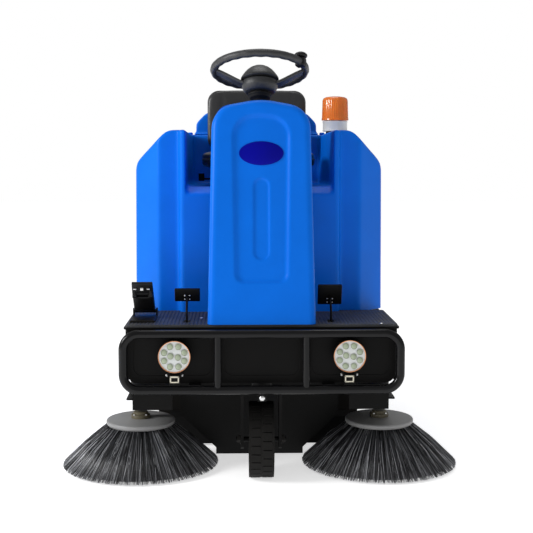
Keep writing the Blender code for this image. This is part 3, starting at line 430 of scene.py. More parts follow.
def turned(name, profile, place, steps, material, body, replaces=(), sharp=35):
    """A piece turned from one profile."""
    made = bmesh.new()
    lathe(made, profile, place, steps)
    piece(name, made, material, body, replaces, sharp)


def solid_object(name, build):
    """An object whose mesh build(bmesh) fills."""
    made = bmesh.new()
    build(made)
    return mesh_object(name, made)


def applied(obj):
    """The object with its modifiers applied."""
    graph = bpy.context.evaluated_depsgraph_get()
    mesh = bpy.data.meshes.new_from_object(obj.evaluated_get(graph))
    obj.modifiers.clear()
    obj.data = mesh
    return obj


def carve(obj, operation, *builds):
    """Applies a Boolean with each helper shape, and removes the helpers."""
    for build in builds:
        helper = solid_object("helper", build)
        modifier = obj.modifiers.new("carve", "BOOLEAN")
        modifier.operation = operation
        modifier.object = helper
        applied(obj)
        bpy.data.objects.remove(helper)
    return obj


def moulded(obj, voxel, rounds):
    """Rounds every edge of a solid as a moulding's are: a voxel remesh, then smoothing."""
    remesh = obj.modifiers.new("remesh", "REMESH")
    remesh.mode = "VOXEL"
    remesh.voxel_size = voxel
    relax = obj.modifiers.new("relax", "SMOOTH")
    relax.factor = 0.5
    relax.iterations = rounds
    applied(obj)
    obj.data.shade_smooth()
    return obj


def trim(obj, at, normal):
    """Cuts away what lies beyond the plane at that point, on its normal's side."""
    made = bmesh.new()
    made.from_mesh(obj.data)
    everything = made.verts[:] + made.edges[:] + made.faces[:]
    bmesh.ops.bisect_plane(made, geom=everything, plane_co=at, plane_no=normal, clear_outer=True)
    made.to_mesh(obj.data)
    made.free()


def shelled(obj, wall=0.005):
    """An open surface given a wall on its inner side."""
    solid = obj.modifiers.new("wall", "SOLIDIFY")
    solid.thickness = wall
    solid.offset = -1
    applied(obj)
    obj.data.shade_smooth()
    obj.data.set_sharp_from_angle(angle=math.radians(50))
    return obj


# Body


def body_builds():
    """Two outlines that meet in the body's outer form, then its seat recess and the slope before it."""
    front = rounded([(-0.4555, 0.45, 0), (0.4555, 0.45, 0), (0.45, 1.075, 0.06), (0.33, 1.192, 0.06),
                     (-0.33, 1.192, 0.06), (-0.45, 1.075, 0.06)])
    half = 0.458
    side = [(0.286, -0.42, 0.014), (0.286, -0.38, 0), (0.362, -0.38, 0.012), (half, -0.27, 0.03),
            (half, 0.69, 0.05), (half - 0.07, 0.76, 0.05)]
    plan = rounded(side + [(-x, y, r) for x, y, r in reversed(side)])
    slope = [(-0.455, 0.9375), (-0.345, 1.02), (-0.6, 1.02), (-0.6, 0.9)]
    recess = 0.262
    return (
        lambda made: prism(made, front, -0.9, 0.6, FRONT_PLANE),
        lambda made: prism(made, plan, 0.3, 1.4, LEVEL),
        lambda made: block(made, (-recess, -0.6, 0.99), (recess, 0.236, 1.4), round_by=0.012),
        lambda made: prism(made, slope, -recess, recess, SIDE_PLANE),
    )


def in_hood_mouth(face):
    x, y, z = face.calc_center_median()
    return abs(x) < 0.245 and 0.262 < y < 0.695 and z > 1.15


def body_shell():
    outer, plan, recess, slope = body_builds()
    shell = solid_object("body_moulding", outer)
    carve(shell, "INTERSECT", plan)
    carve(shell, "DIFFERENCE", recess, slope)
    moulded(shell, 0.006, 8)
    trim(shell, (0, 0, BODY_LOW), DOWN)
    made = bmesh.new()
    made.from_mesh(shell.data)
    bmesh.ops.delete(made, geom=[f for f in made.faces if in_hood_mouth(f)], context="FACES")
    made.to_mesh(shell.data)
    made.free()
    shelled(shell)
    adopt(shell, BLUE, "chassis", ["body_shell"])


def hood():
    front = rounded([(-0.249, 1.1, 0), (0.249, 1.1, 0), (0.249, 1.24, 0.03), (0.203, 1.288, 0.05),
                     (-0.203, 1.288, 0.05), (-0.249, 1.24, 0.03)])
    side = rounded([(0.258, 1.1, 0), (0.7, 1.1, 0), (0.7, 1.215, 0.03), (0.54, 1.288, 0.08),
                    (0.27, 1.288, 0.024)])
    lid = solid_object("hood_moulding", lambda made: prism(made, front, -0.9, -0.1, FRONT_PLANE))
    carve(lid, "INTERSECT", lambda made: prism(made, side, -0.4, 0.4, SIDE_PLANE))
    carve(lid, "UNION", lambda made: block(made, (-0.257, 0.248, 1.1923), (0.257, 0.712, 1.1985)))
    moulded(lid, 0.0045, 7)
    trim(lid, (0, 0, 1.1933), DOWN)
    shelled(lid, 0.004)
    adopt(lid, BLUE, "hood", ["rear_hood"])


# Column


def column_plane(depth=0.0):
    """Local x across, y up along the leaning face, z out of it, with z = 0 at that depth behind the face."""
    back = Vector((0, math.cos(LEAN), -math.sin(LEAN)))
    turn = Matrix.Rotation(math.radians(90) - LEAN, 4, "X")
    return Matrix.Translation(Vector((0, COLUMN_FRONT, DECK_Z)) + back * depth) @ turn


def column_cover():
    face = column_plane()
    outline = rounded([(-0.18, -0.06, 0), (0.18, -0.06, 0), (0.164, 0.722, 0.085), (0, 0.752, 0.25),
                       (-0.164, 0.722, 0.085)], 8)
    panel = rounded([(-0.092, 0.132, 0.036), (0.092, 0.132, 0.036), (0.101, 0.69, 0.075), (0, 0.702, 0.2),
                     (-0.101, 0.69, 0.075)], 8)
    slot = rounded(rectangle((-0.028, 0.211), (0.028, 0.486), 0.0275), 8)
    cover = solid_object("column_moulding", lambda made: prism(made, outline, -0.21, 0, face, 0.022, 4))
    carve(cover, "DIFFERENCE", lambda made: funnel(made, offset(panel, -0.015), -0.008, 0.0055, 0.022, face))
    carve(cover, "DIFFERENCE", lambda made: funnel(made, offset(slot, -0.005), -0.0125, -0.006, 0.006, face))
    moulded(cover, 0.0035, 3)
    trim(cover, ON_DECK, DOWN)
    behind = column_plane(COLUMN_SEAM)
    trim(cover, behind.translation, behind.to_3x3() @ -UP)
    shelled(cover)
    adopt(cover, BLUE, "chassis", ["column_front_cover"])
    badge = bmesh.new()
    oval = [(0.074 * x, 0.567 + 0.04 * y) for x, y in circle(1, 64)]
    prism(badge, oval, -0.0085, -0.0055, face, 0.0012)
    piece("column_badge", badge, NAVY, "chassis")


def column_back():
    """The cover on the rider's side, whose top corners follow the front cover's."""
    def back_y(z):
        return COLUMN_FRONT + COLUMN_SEAM / math.cos(LEAN) + (z - DECK_Z) * math.tan(LEAN)

    half, low, high = 0.156, 0.5, 1.262
    side = rounded([(back_y(low) - 0.03, low, 0), (-0.585, low, 0), (-0.505, 0.99, 0.04),
                    (-0.345, 1.12, 0.02),
                    (-0.335, 1.19, 0.012), (-0.5, 1.277, 0.01), (back_y(high) - 0.03, high, 0)])
    front = rounded([(-half, 0.4, 0), (half, 0.4, 0), (half, 1.2625, 0.055), (0, 1.3, 0),
                     (-half, 1.2625, 0.055)])
    cover = solid_object("column_back_moulding", lambda made: prism(made, side, -half, half, SIDE_PLANE))
    carve(cover, "INTERSECT", lambda made: prism(made, front, 0.2, 0.9, FRONT_PLANE))
    moulded(cover, 0.004, 3)
    trim(cover, ON_DECK, DOWN)
    behind = column_plane(COLUMN_SEAM + 0.001)
    trim(cover, behind.translation, behind.to_3x3() @ UP)
    shelled(cover)
    shaft = [WHEEL_FRAME @ Vector((0, 0, z)) for z in (-0.1, -0.25)]
    carve(cover, "DIFFERENCE", lambda made: rod(made, *shaft, 0.024))
    adopt(cover, BLUE, "chassis", ["column_rear_cover"])


# Steering wheel


def wheel_rim(made, count=180, sides=20):
    """The rim, with 24 finger ripples under it."""
    rings = []
    for i in range(count):
        a = math.tau * i / count
        ripple = 0.0009 * math.cos(24 * a)
        ring = []
        for k in range(sides):
            b = math.tau * k / sides
            under = max(0.0, -math.sin(b)) + 0.3 * max(0.0, math.cos(b))
            out, high = polar(RIM_R - 0.0008 + ripple * under, b)
            ring.append(made.verts.new(WHEEL_FRAME @ Vector((*polar(WHEEL_R + out, a), high))))
        rings.append(ring)
    for first, second in zip(rings, rings[1:] + rings[:1]):
        bridge(made, first, second)


def steering_wheel():
    """A rim, two broad spokes and a dished hub with the horn pad on it."""
    wheel = bmesh.new()
    wheel_rim(wheel)
    for side in (0, math.pi):
        spoke(wheel, WHEEL_FRAME @ Matrix.Rotation(side, 4, "Z"))
    lathe(wheel, [(0, -0.043), (0.057, -0.043), (0.0605, -0.044), (0.0622, -0.0465), (0.063, -0.062),
                  (0.06, -0.069), (0.0525, -0.08), (0.048, -0.0838), (0, -0.0838)], WHEEL_FRAME, 64)
    piece("steering_wheel_fine", wheel, GRIP, "steering", ["steering_wheel"], 50)
    profile = [(0, 0.0158), (0.012, 0.015), (0.024, 0.012), (0.036, 0.0056), (0.046, -0.0028),
               (0.054, -0.0118), (0.0615, -0.0225), (0.0665, -0.031), (0.0668, -0.0355), (0.0645, -0.0374),
               (0, -0.0374)]
    turned("horn_pad", profile, WHEEL_FRAME, 64, GRIP, "horn", ["horn_button"], 50)


def spoke(made, place, steps=16, sides=16):
    """A broad spoke that climbs from the deep hub to the rim."""
    foot, reach, low, climb = 0.04, 0.117, -0.062, 0.0585
    rings = []
    for i in range(steps + 1):
        share = i / steps
        out = foot + reach * share
        high = low + climb * (0.25 * share * share * (3 - 2 * share) + 0.75 * share)
        wide = 0.0225 + 0.0085 * (1 - share) ** 1.5
        ring = []
        for x, y in circle(1, sides):
            y, z = math.copysign(abs(x) ** 0.4, x) * wide, math.copysign(abs(y) ** 0.6, y) * 0.0055
            ring.append(made.verts.new(place @ Vector((out - z * 0.4, y, high + z))))
        rings.append(ring)
    for first, second in zip(rings, rings[1:]):
        bridge(made, first, second)
    made.faces.new(rings[0])
    made.faces.new(rings[-1])


def spinner():
    around = math.radians(-29)
    out = Vector((math.cos(around), math.sin(around), 0)) * WHEEL_R
    place = WHEEL_FRAME @ Matrix.Translation(out)
    profile = [(0, 0.036), (0.007, 0.0355), (0.013, 0.034), (0.019, 0.0305), (0.023, 0.026),
               (0.0238, 0.0222), (0.022, 0.0185), (0.0175, 0.0162), (0.012, 0.0157), (0, 0.0157)]
    turned("spinner_knob_fine", profile, place, 40, PLASTIC, "spinner", ["spinner_knob"], 50)
    clamp = bmesh.new()
    turn = place @ Matrix.Rotation(around, 4, "Z")
    block(clamp, (-0.0172, -0.014, -0.0165), (0.0172, 0.014, 0.0153), turn, 0.006, 3)
    piece("spinner_clamp", clamp, PLASTIC, "steering")
    screws = bmesh.new()
    for x in (-0.01, 0.01):
        rod(screws, turn @ Vector((x, -0.0155, 0)), turn @ Vector((x, 0.0155, 0)), 0.0028, 12)
    piece("spinner_screws", screws, STEEL_BRIGHT, "steering")


def boot():
    profile = [(0.0395, -0.0878), (0.041, -0.089), (0.0418, -0.0935), (0.04, -0.0965), (0.0375, -0.0985),
               (0.0378, -0.1025), (0.034, -0.106), (0.029, -0.1085), (0.024, -0.1125), (0.0222, -0.118),
               (0.021, -0.1355), (0.0172, -0.1358), (0.0172, -0.0878)]
    turned("steering_boot_fine", profile, WHEEL_FRAME, 48, RUBBER, "chassis", ["steering_boot"], 60)


# Seat


def pad_mesh(low, high, crown, place=LEVEL):
    """A crowned closed pad inside a box, with a groove between its middle and each side bolster."""
    low, high = Vector(low), Vector(high)
    middle, half = (low + high) / 2, (high - low) / 2
    power, cuts, groove_x, groove_wide, groove_deep, wrinkle_deep = 6.0, 35, 0.7, 0.035, 0.1, 0.012
    made = bmesh.new()
    bmesh.ops.create_cube(made, size=2)
    bmesh.ops.subdivide_edges(made, edges=made.edges[:], cuts=cuts, use_grid_fill=True)
    for v in made.verts:
        length = sum(abs(c) ** power for c in v.co) ** (1 / power)
        x, y, z = (c / length for c in v.co)
        full = 1 - crown * (x ** 4 + y ** 4) / 2
        groove = groove_deep * math.exp(-((abs(x) - groove_x) / groove_wide) ** 2) * max(0.0, z) ** 2
        wrinkle = abs(wrinkle_deep * noise.noise(Vector((x * 5, y * 5, z * 3))))
        v.co = Vector((middle.x + half.x * x * (1 - wrinkle), middle.y + half.y * y,
                       middle.z + half.z * z * (full - groove - wrinkle)))
    bmesh.ops.transform(made, matrix=place, verts=made.verts)
    return made


def piping(made, low, high, at, place=LEVEL):
    """The welt round a pad, at one height of it."""
    corners = rounded(rectangle(low, high, 0.045), 8)
    sweep(made, [place @ Vector((x, y, at)) for x, y in corners], 0.0028, 8, closed=True)


def seat():
    fill, seam_angle = 0.7, 80
    cushion = pad_mesh((-0.212, -0.268, 1.0505), (0.212, 0.132, 1.1235), 0.34)
    piece("seat_cushion_padded", cushion, VINYL, "seat", ["seat_cushion"], seam_angle)
    welt = bmesh.new()
    piping(welt, (-0.2085, -0.2645), (0.2085, 0.1285), 1.087)
    lean = Matrix.Translation((0, 0.14, 1.127)) @ Matrix.Rotation(math.radians(-4), 4, "X")
    upright = lean @ Matrix.Translation((0, 0.058, 0)) @ FRONT_PLANE
    back = pad_mesh((-0.199, 0.001, 0.001), (0.199, 0.244, 0.057), 0.3, upright)
    piece("seat_back_padded", back, VINYL, "seat", ["seat_back"], seam_angle)
    piping(welt, (-0.1965, 0.0035), (0.1965, 0.2415), 0.029, upright)
    piece("seat_welts", welt, VINYL, "seat", sharp=seam_angle)


# Beacon and work lights


def beacon():
    place = Matrix.Translation(BEACON)
    profile = [(0, 0.0515), (0.047, 0.0515), (0.0497, 0.05), (0.05, 0.046), (0.0485, 0.043),
               (0.0485, 0.016), (0.05, 0.014), (0.05, 0.011), (0.049, 0.0095), (0, 0.0095)]
    turned("beacon_base_fine", profile, place, 64, PALE, "chassis", ["beacon_base"])
    profile = [(0, 0.0095), (0.036, 0.0095), (0.037, 0.002), (0.037, 0.0), (0, 0.0)]
    turned("beacon_foot", profile, place, 48, RUBBER, "chassis")
    beacon_lens(place @ Matrix.Translation((0, 0, 0.0525)))


def beacon_lens(place, steps=144):
    """The amber cap, with 36 fine ribs round its side."""
    lens = bmesh.new()
    rings = []
    for radius, height in ((0.0535, 0.0005), (0.0535, 0.009), (0.0518, 0.011), (0.0497, 0.078),
                           (0.0488, 0.0835),
                           (0.046, 0.0885), (0.038, 0.0925), (0.02, 0.095)):
        ring = []
        for i in range(steps):
            a = math.tau * i / steps
            rib = 0.0008 * math.cos(36 * a) if 0.01 < height < 0.08 else 0
            ring.append(lens.verts.new(place @ Vector((*polar(radius + rib, a), height))))
        rings.append(ring)
    top = lens.verts.new(place @ Vector((0, 0, 0.0958)))
    for first, second in zip(rings, rings[1:]):
        bridge(lens, first, second)
    for i in range(steps):
        lens.faces.new((rings[-1][i], rings[-1][(i + 1) % steps], top))
    lens.faces.new(rings[0][::-1])
    piece("beacon_lens_fine", lens, AMBER, "chassis", ["beacon_lens"], 60)


def work_light(side_name, x):
    """A round head with ten reflector cups, which tilts on a short tab."""
    body = f"light_{side_name}"
    face = Matrix.Translation((x, LIGHT_Y, LIGHT_Z)) @ Matrix.Rotation(math.radians(90), 4, "X")
    light_housing(side_name, x, body, face)
    light_cups(side_name, body, face)
    heads = [((x + side * 0.0239, LIGHT_Y, LIGHT_PIVOT_Z), (side, 0, 0)) for side in BOTH]
    bolts(f"light_bolts_{side_name}", body, heads, 0.0042, 0.0035)
    light_foot(side_name, x)


def light_housing(side_name, x, body, face):
    """The drum with seven cooling ribs behind and two ears at its pivot."""
    housing = bmesh.new()
    lathe(housing, [(0, 0.0112), (0.0528, 0.0112), (0.0528, 0.019), (0.0542, 0.0185), (0.055, 0.016),
                    (0.055, -0.004), (0.05, -0.0075), (0.042, -0.015), (0.04, -0.0195), (0, -0.0195)], face,
          64)
    for i in range(7):
        across = -0.03 + i * 0.01
        block(housing, (across - 0.0012, -0.03, -0.0196), (across + 0.0012, 0.03, -0.012), face, 0.0004, 1)
    for side in BOTH:
        low, high = sorted((x + side * 0.0178, x + side * 0.0238))
        block(housing, (low, LIGHT_Y - 0.006, LIGHT_PIVOT_Z - 0.007), (high, LIGHT_Y + 0.006, 0.4))
    piece(f"light_housing_{side_name}", housing, STEEL_BLACK, body, [f"led_light_{side_name}"])


def light_cups(side_name, body, face):
    """The reflector plate, its ten cups with a diode in each, and the copper ring round it."""
    plate = bmesh.new()
    lathe(plate, [(0, 0.014), (0.0508, 0.014), (0.0508, 0.0114), (0, 0.0114)], face, 64)
    diodes, rims = bmesh.new(), bmesh.new()
    for cx, cy in circle(0.0355, 8, 0.5) + [(-0.012, 0.002), (0.012, -0.002)]:
        cup = face @ Matrix.Translation((cx, cy, 0.0141))
        lathe(rims, [(0.011, 0.0022), (0.0118, 0.002), (0.0121, 0.0002), (0.0108, 0.0002),
                     (0.0106, 0.0016)], cup, 28)
        lathe(diodes, [(0, 0.0034), (0.005, 0.003), (0.0088, 0.0016), (0.0102, 0.0002), (0, 0.0002)], cup, 24)
    piece(f"light_reflector_{side_name}", plate, REFLECTOR, body)
    piece(f"light_cups_{side_name}", rims, STEEL_BRIGHT, body)
    piece(f"light_diodes_{side_name}", diodes, DIODE, body)
    profile = [(0.0505, 0.0182), (0.0518, 0.0186), (0.0527, 0.0182), (0.0527, 0.0145), (0.0505, 0.0145)]
    turned(f"light_ring_{side_name}", profile, face, 64, COPPER, body)


def light_foot(side_name, x):
    """The black foot on the bumper's tube, and the cream tab in front of it."""
    foot, half, front = bmesh.new(), 0.0171, LIGHT_Y - 0.0099
    block(foot, (x - half, front, BUMPER_LOW + 0.0153), (x + half, LIGHT_Y + 0.0099, 0.3575), round_by=0.0015)
    block(foot, (x - half, LIGHT_Y - 0.006, 0.356), (x + half, LIGHT_Y + 0.0099, 0.385), round_by=0.0015)
    piece(f"light_foot_{side_name}", foot, STEEL_BLACK, "chassis", [f"led_bracket_{side_name}"])
    tab, back = bmesh.new(), LIGHT_Y - 0.0061
    for low, high in ((0.3578, 0.3618), (0.3745, 0.38)):
        block(tab, (x - 0.015, front, low), (x + 0.015, back, high), round_by=0.0012)
    for side in BOTH:
        low, high = sorted((x + side * 0.0108, x + side * 0.015))
        block(tab, (low, front, 0.358), (high, back, 0.3798), round_by=0.0012)
    piece(f"light_tab_{side_name}", tab, CREAM, "chassis")


# Bumper, panel and platform


def bumper():
    """A tube loop with two uprights and four brackets, and a tow tab under it."""
    low, high, y = BUMPER_LOW, BUMPER_HIGH, -0.785
    loop = rounded(rectangle((-0.453, low), (0.453, high), 0.052), 12)
    made = bmesh.new()
    sweep(made, [(x, y, z) for x, z in loop], 0.0149, 20, closed=True)
    for x in (-0.145, 0.145):
        sweep(made, [(x, y, low), (x, y, high)], 0.0125, 18)
    for x in (-0.32, 0.32):
        block(made, (x - 0.02, y, 0.511), (x + 0.02, -0.7603, 0.525))
    for x in (-0.22, 0.22):
        block(made, (x - 0.02, y, 0.331), (x + 0.02, -0.7353, 0.35))
    piece("bumper_loop", made, GLOSS_BLACK, "chassis", ["front_bumper"], 60)
    tab = bmesh.new()
    block(tab, (-0.014, -0.786, 0.294), (0.014, -0.782, 0.33), round_by=0.001)
    piece("tow_tab", tab, STEEL_BLACK, "chassis")
    bolts("tow_bolt", "chassis", [((0, -0.786, 0.306), (0, -1, 0))], 0.0105, 0.007, True)


def front_panel():
    """A pressed panel with three shallow windows."""
    outer = rounded([(-0.445, 0.3455, 0.035), (0.445, 0.3455, 0.035), (0.445, 0.529, 0.004),
                     (-0.445, 0.529, 0.004)])
    panel = solid_object("panel_pressing", lambda made: prism(made, outer, 0.7315, 0.7348, FRONT_PLANE))
    for low, high in ((-0.425, -0.165), (-0.125, 0.125), (0.165, 0.425)):
        hole = rounded(rectangle((low, 0.372), (high, 0.505), 0.03))
        carve(panel, "DIFFERENCE", lambda made, hole=hole: prism(made, hole, 0.7333, 0.75, FRONT_PLANE))
    soften(panel, 0.0007, 30)
    adopt(panel, STEEL_BLACK, "chassis", ["front_panel"])


def floor_mat():
    """A rubber mat whose ribs run front to back."""
    low, high, rib_step, rib_half = 0.5363, 0.5436, 0.0124, 0.0036
    outline = rounded([(-0.448, -0.756, 0.01), (0.448, -0.756, 0.01), (0.448, -0.384, 0), (0.286, -0.384, 0),
                       (0.286, -0.4212, 0), (-0.286, -0.4212, 0), (-0.286, -0.384, 0), (-0.448, -0.384, 0)])
    mat = solid_object("mat_sheet", lambda made: prism(made, outline, low, high, LEVEL))

    def ribs(made):
        for i in range(72):
            x = -0.44 + i * rib_step
            rear = -0.424 if abs(x) < 0.29 else -0.388
            block(made, (x - rib_half, -0.751, high - 0.002), (x + rib_half, rear, 0.5449), round_by=0.001,
                  segments=1)

    def slots(made):
        for x in (BRAKE_X, FLAP_PEDAL_X):
            block(made, (x - 0.011, -0.697, 0.5), (x + 0.011, -0.64, 0.6), round_by=0)
    carve(mat, "UNION", ribs)
    carve(mat, "DIFFERENCE", slots)
    adopt(mat, MAT, "chassis", ["floor_mat"])
    heads = [((x, y, 0.5446), UP) for x, y in ((-0.203, -0.592), (0.395, -0.742))]
    bolts("mat_screws", "chassis", heads, 0.006, 0.0025, True)


# Pedals


def pedal_pad(name, x, half, tall, body, cad_node):
    """A ribbed pad on a bent rod, from a cross rod under the deck."""
    y, z = -0.67, 0.5
    made = bmesh.new()
    side = math.copysign(1, x)
    rod(made, (x - side * 0.012, y, z), (side * 0.299, y, z), 0.012, 24)
    path = [(x, y, z), (x, y - 0.003, 0.535), (x, y - 0.006, 0.566), (x, y - 0.001, 0.584),
            (x, y + 0.01, 0.597),
            (x, y + 0.028, 0.611), (x, y + 0.049, 0.6255)]
    sweep(made, path, 0.0038, 12)
    face = Matrix.Translation((x, y + 0.052, 0.628)) @ Matrix.Rotation(math.radians(20), 4, "X")
    block(made, (-half, -0.006, -tall / 2), (half, 0.006, tall / 2), face, 0.003, 3)
    for i in range(5):
        height = -tall / 2 + tall * (i + 1) / 6
        block(made, (-half + 0.004, 0.004, height - 0.002), (half - 0.004, 0.0075, height + 0.002), face,
              0.0008, 1)
    piece(name + "_fine", made, STEEL_BLACK, body, [cad_node])
    middle, out = -tall * 0.5 + 0.0155, face.to_3x3() @ Vector((0, -1, 0))
    heads = [(face @ Vector((sx * 0.0085, -0.0058, middle + sz * 0.0068)), out) for sx in BOTH for sz in BOTH]
    bolts(name + "_screws", body, heads, 0.0027, 0.002, True)


def accelerator():
    """A ribbed treadle, hinged at its heel, with a bright clip and rollers under its toe."""
    x, heel_y, heel_z, toe_y, toe_z = ACCELERATOR_X, -0.56, 0.566, -0.69, 0.672
    made = bmesh.new()
    outline = rounded([(heel_y + 0.006, heel_z - 0.006, 0.004), (heel_y + 0.006, heel_z + 0.008, 0.004),
                       (toe_y, toe_z + 0.01, 0.005), (toe_y - 0.006, toe_z, 0.004),
                       (toe_y + 0.014, toe_z - 0.03, 0.006),
                       (heel_y - 0.04, heel_z + 0.008, 0.004)])
    prism(made, outline, x - 0.0344, x + 0.0344, SIDE_PLANE, 0.002, 2)
    rod(made, (x - 0.0366, heel_y, heel_z), (x + 0.0366, heel_y, heel_z), 0.006, 16)
    start, end = Vector((x, heel_y + 0.006, heel_z + 0.008)), Vector((x, toe_y, toe_z + 0.01))
    slope = Matrix.Rotation(math.atan2(end.z - start.z, start.y - end.y), 4, "X")
    for i in range(10):
        at = Matrix.Translation(start.lerp(end, 0.08 + 0.86 * i / 9)) @ slope.inverted()
        block(made, (-0.031, -0.0025, -0.001), (0.031, 0.0025, 0.0016), at, 0.0006, 1)
    for offset_x in (-0.027, 0.027):
        block(made, (x + offset_x - 0.004, -0.68, 0.63), (x + offset_x + 0.004, -0.64, 0.655), round_by=0.002)
        rod(made, (x + offset_x - 0.0065, -0.672, 0.632), (x + offset_x + 0.0065, -0.672, 0.632), 0.0085, 16)
    for row in range(3):
        z = 0.652 - row * 0.014
        rod(made, (x - 0.026, -0.676 + row * 0.006, z), (x + 0.026, -0.676 + row * 0.006, z), 0.0045, 14)
    piece("accelerator_treadle", made, PLASTIC, "accelerator", ["accelerator_pedal"])
    clip = bmesh.new()
    for offset_x in (-0.024, 0.02):
        rod(clip, (x + offset_x - 0.005, -0.688, 0.655), (x + offset_x + 0.005, -0.688, 0.655), 0.003, 14)
    block(clip, (x - 0.006, -0.6925, 0.651), (x + 0.004, -0.69, 0.66), round_by=0.0006)
    piece("accelerator_clip", clip, STEEL_BRIGHT, "accelerator")


# Wheels and brushes


def tread(made, centre, radius, half, count):
    """Two staggered rows of transverse blocks round a tyre."""
    wide = math.tau * radius / count * 0.455
    for low, high, shift in ((-0.86, -0.06, 0.0), (0.06, 0.86, 0.5)):
        for i in range(count):
            place = Matrix.Translation(centre) @ Matrix.Rotation(math.tau * (i + shift) / count, 4, "X")
            block(made, (low * half, -wide, radius - 0.008), (high * half, wide, radius - 0.0003), place,
                  0.0012, 1)


def tyre(name, centre, radius, bore, half, body, cad_node, count):
    """A carcass with tread blocks, and a smooth band round its middle and each shoulder."""
    made = bmesh.new()
    turn = Matrix.Translation(centre) @ Matrix.Rotation(math.radians(90), 4, "Y")
    deep = 0.0055
    profile = [(bore, half - 0.005), (bore + 0.01, half - 0.001), (radius - 0.035, half - 0.0005),
               (radius - 0.018, half - 0.002), (radius - deep - 0.003, half - 0.005),
               (radius - deep, half - 0.01)]
    profile += [(r, -h) for r, h in reversed(profile)]
    lathe(made, profile, turn, 72)
    tread(made, centre, radius, half, count)
    outer, inner = radius - 0.0009, radius - 0.009
    for low, high in ((-0.1, 0.1), (-0.99, -0.8), (0.8, 0.99)):
        band = [(outer, high * half), (outer, low * half), (inner, low * half), (inner, high * half)]
        lathe(made, band, turn, 72)
    piece(name, made, TYRE, body, [cad_node], 40)


def rim(name, centre, radius, half, body, cad_node, outward):
    """A dished rim with four nuts; outward is the side its dish faces."""
    made = bmesh.new()
    turn = Matrix.Translation(centre) @ Matrix.Rotation(math.radians(90 * outward), 4, "Y")
    lathe(made, [(0, half), (0.022, half), (0.026, half - 0.002), (0.03, half * 0.35), (0.036, half * 0.25),
                 (radius - 0.02, half * 0.25), (radius - 0.013, half - 0.006), (radius - 0.01, half - 0.004),
                 (radius, half - 0.004), (radius, -half + 0.004), (radius - 0.012, -half + 0.004),
                 (radius - 0.018, -half * 0.3), (0.03, -half * 0.3), (0.026, -half), (0, -half)], turn, 64)
    piece(name, made, RIM_PAINT, body, [cad_node])
    heads = [(turn @ Vector((x, y, half * 0.25)), turn.to_3x3() @ UP) for x, y in circle(0.046, 4)]
    bolts(name + "_nuts", body, heads, 0.007, 0.006)


def wheels():
    tyre("front_tyre_tread", FRONT_AXLE, 0.13, 0.0777, 0.0425, "front_wheel", "front_tyre", 27)
    rim("front_rim_fine", FRONT_AXLE, 0.0775, 0.0362, "front_wheel", "front_rim", 1)
    for side_name, side in SIDES:
        centre = REAR_AXLE + Vector((side * 0.4065, 0, 0))
        body = f"rear_wheel_{side_name}"
        tyre(f"rear_tyre_tread_{side_name}", centre, 0.15, 0.0947, 0.0315, body, f"rear_tyre_{side_name}", 31)
        rim(f"rear_rim_fine_{side_name}", centre, 0.0945, 0.0315, body, f"rear_rim_{side_name}", side)


def fibre(made, points, radius):
    """A thin three-sided fibre through three points, which tapers to its tip."""
    sweep(made, points, [radius, radius, radius * 0.55], 3)


def side_brush(side_name, side):
    """A grey disc with a hub and four nuts on it, and its bristles."""
    place = Matrix.Translation((side * BRUSH_X, BRUSH_Y, BRUSH_Z)) @ Matrix.Rotation(BRUSH_TILT, 4, "X")
    body = f"side_brush_{side_name}"
    profile = [(0, 0.0055), (0.034, 0.0055), (0.06, 0.005), (0.098, 0.003), (0.104, 0.0022),
               (0.1125, 0.0022), (0.1185, 0.0002), (0.1208, -0.003), (0.1208, -0.01), (0.117, -0.0158),
               (0, -0.0158)]
    turned(f"disc_{side_name}", profile, place, 96, DISC, body, [f"side_brush_disc_{side_name}"],
           30)
    profile = [(0, 0.0275), (0.024, 0.0275), (0.0255, 0.026), (0.0255, 0.018), (0.0325, 0.0175),
               (0.0332, 0.016), (0.0332, 0.005), (0, 0.005)]
    turned(f"hub_{side_name}", profile, place, 48, TAN, body)
    heads = [(place @ Vector((x, y, 0.0175)), place.to_3x3() @ UP) for x, y in circle(0.029, 4, 0.5)]
    bolts(f"hub_nuts_{side_name}", body, heads, 0.0036, 0.003)
    bristles = bmesh.new()
    side_fibres(bristles, place, random.Random(11 + side))
    lathe(bristles, [(0.106, -0.017), (0.15, -0.05), (0.258, -0.15), (0.252, -0.15), (0.144, -0.054),
                     (0.1, -0.017)], place, 96)
    piece(f"bristles_{side_name}", bristles, FIBRE, body, [f"side_brush_bristles_{side_name}"],
          180)


def side_fibres(made, place, draw):
    """Three rings of tufts under the disc; the outer ring's are the fullest."""
    top, outer_tip = -0.015, 0.274
    for ring, (foot, tip, tufts, fibres) in enumerate(((0.11, 0.2745, 60, 36), (0.098, 0.262, 54, 16),
                                                       (0.086, 0.247, 48, 16))):
        for i in range(tufts):
            a = math.tau * (i + 0.5 * (ring % 2)) / tufts
            for _ in range(fibres):
                b = a + draw.gauss(0, 0.016)
                c = a + draw.uniform(-0.06, 0.06)
                reach = tip - abs(draw.gauss(0, 0.003))
                low = -0.156 + draw.uniform(-0.002, 0.003) + (outer_tip - tip) * 0.1
                base = foot + draw.gauss(0, 0.0025)
                mid = 0.52 + draw.gauss(0, 0.02)
                points = [(*polar(base, b), top),
                          (*polar(base + (reach - base) * mid, (b + c) / 2),
                           top + (low - top) * (mid - 0.05)),
                          (*polar(reach, c), low)]
                fibre(made, [place @ Vector(p) for p in points], 0.00085)


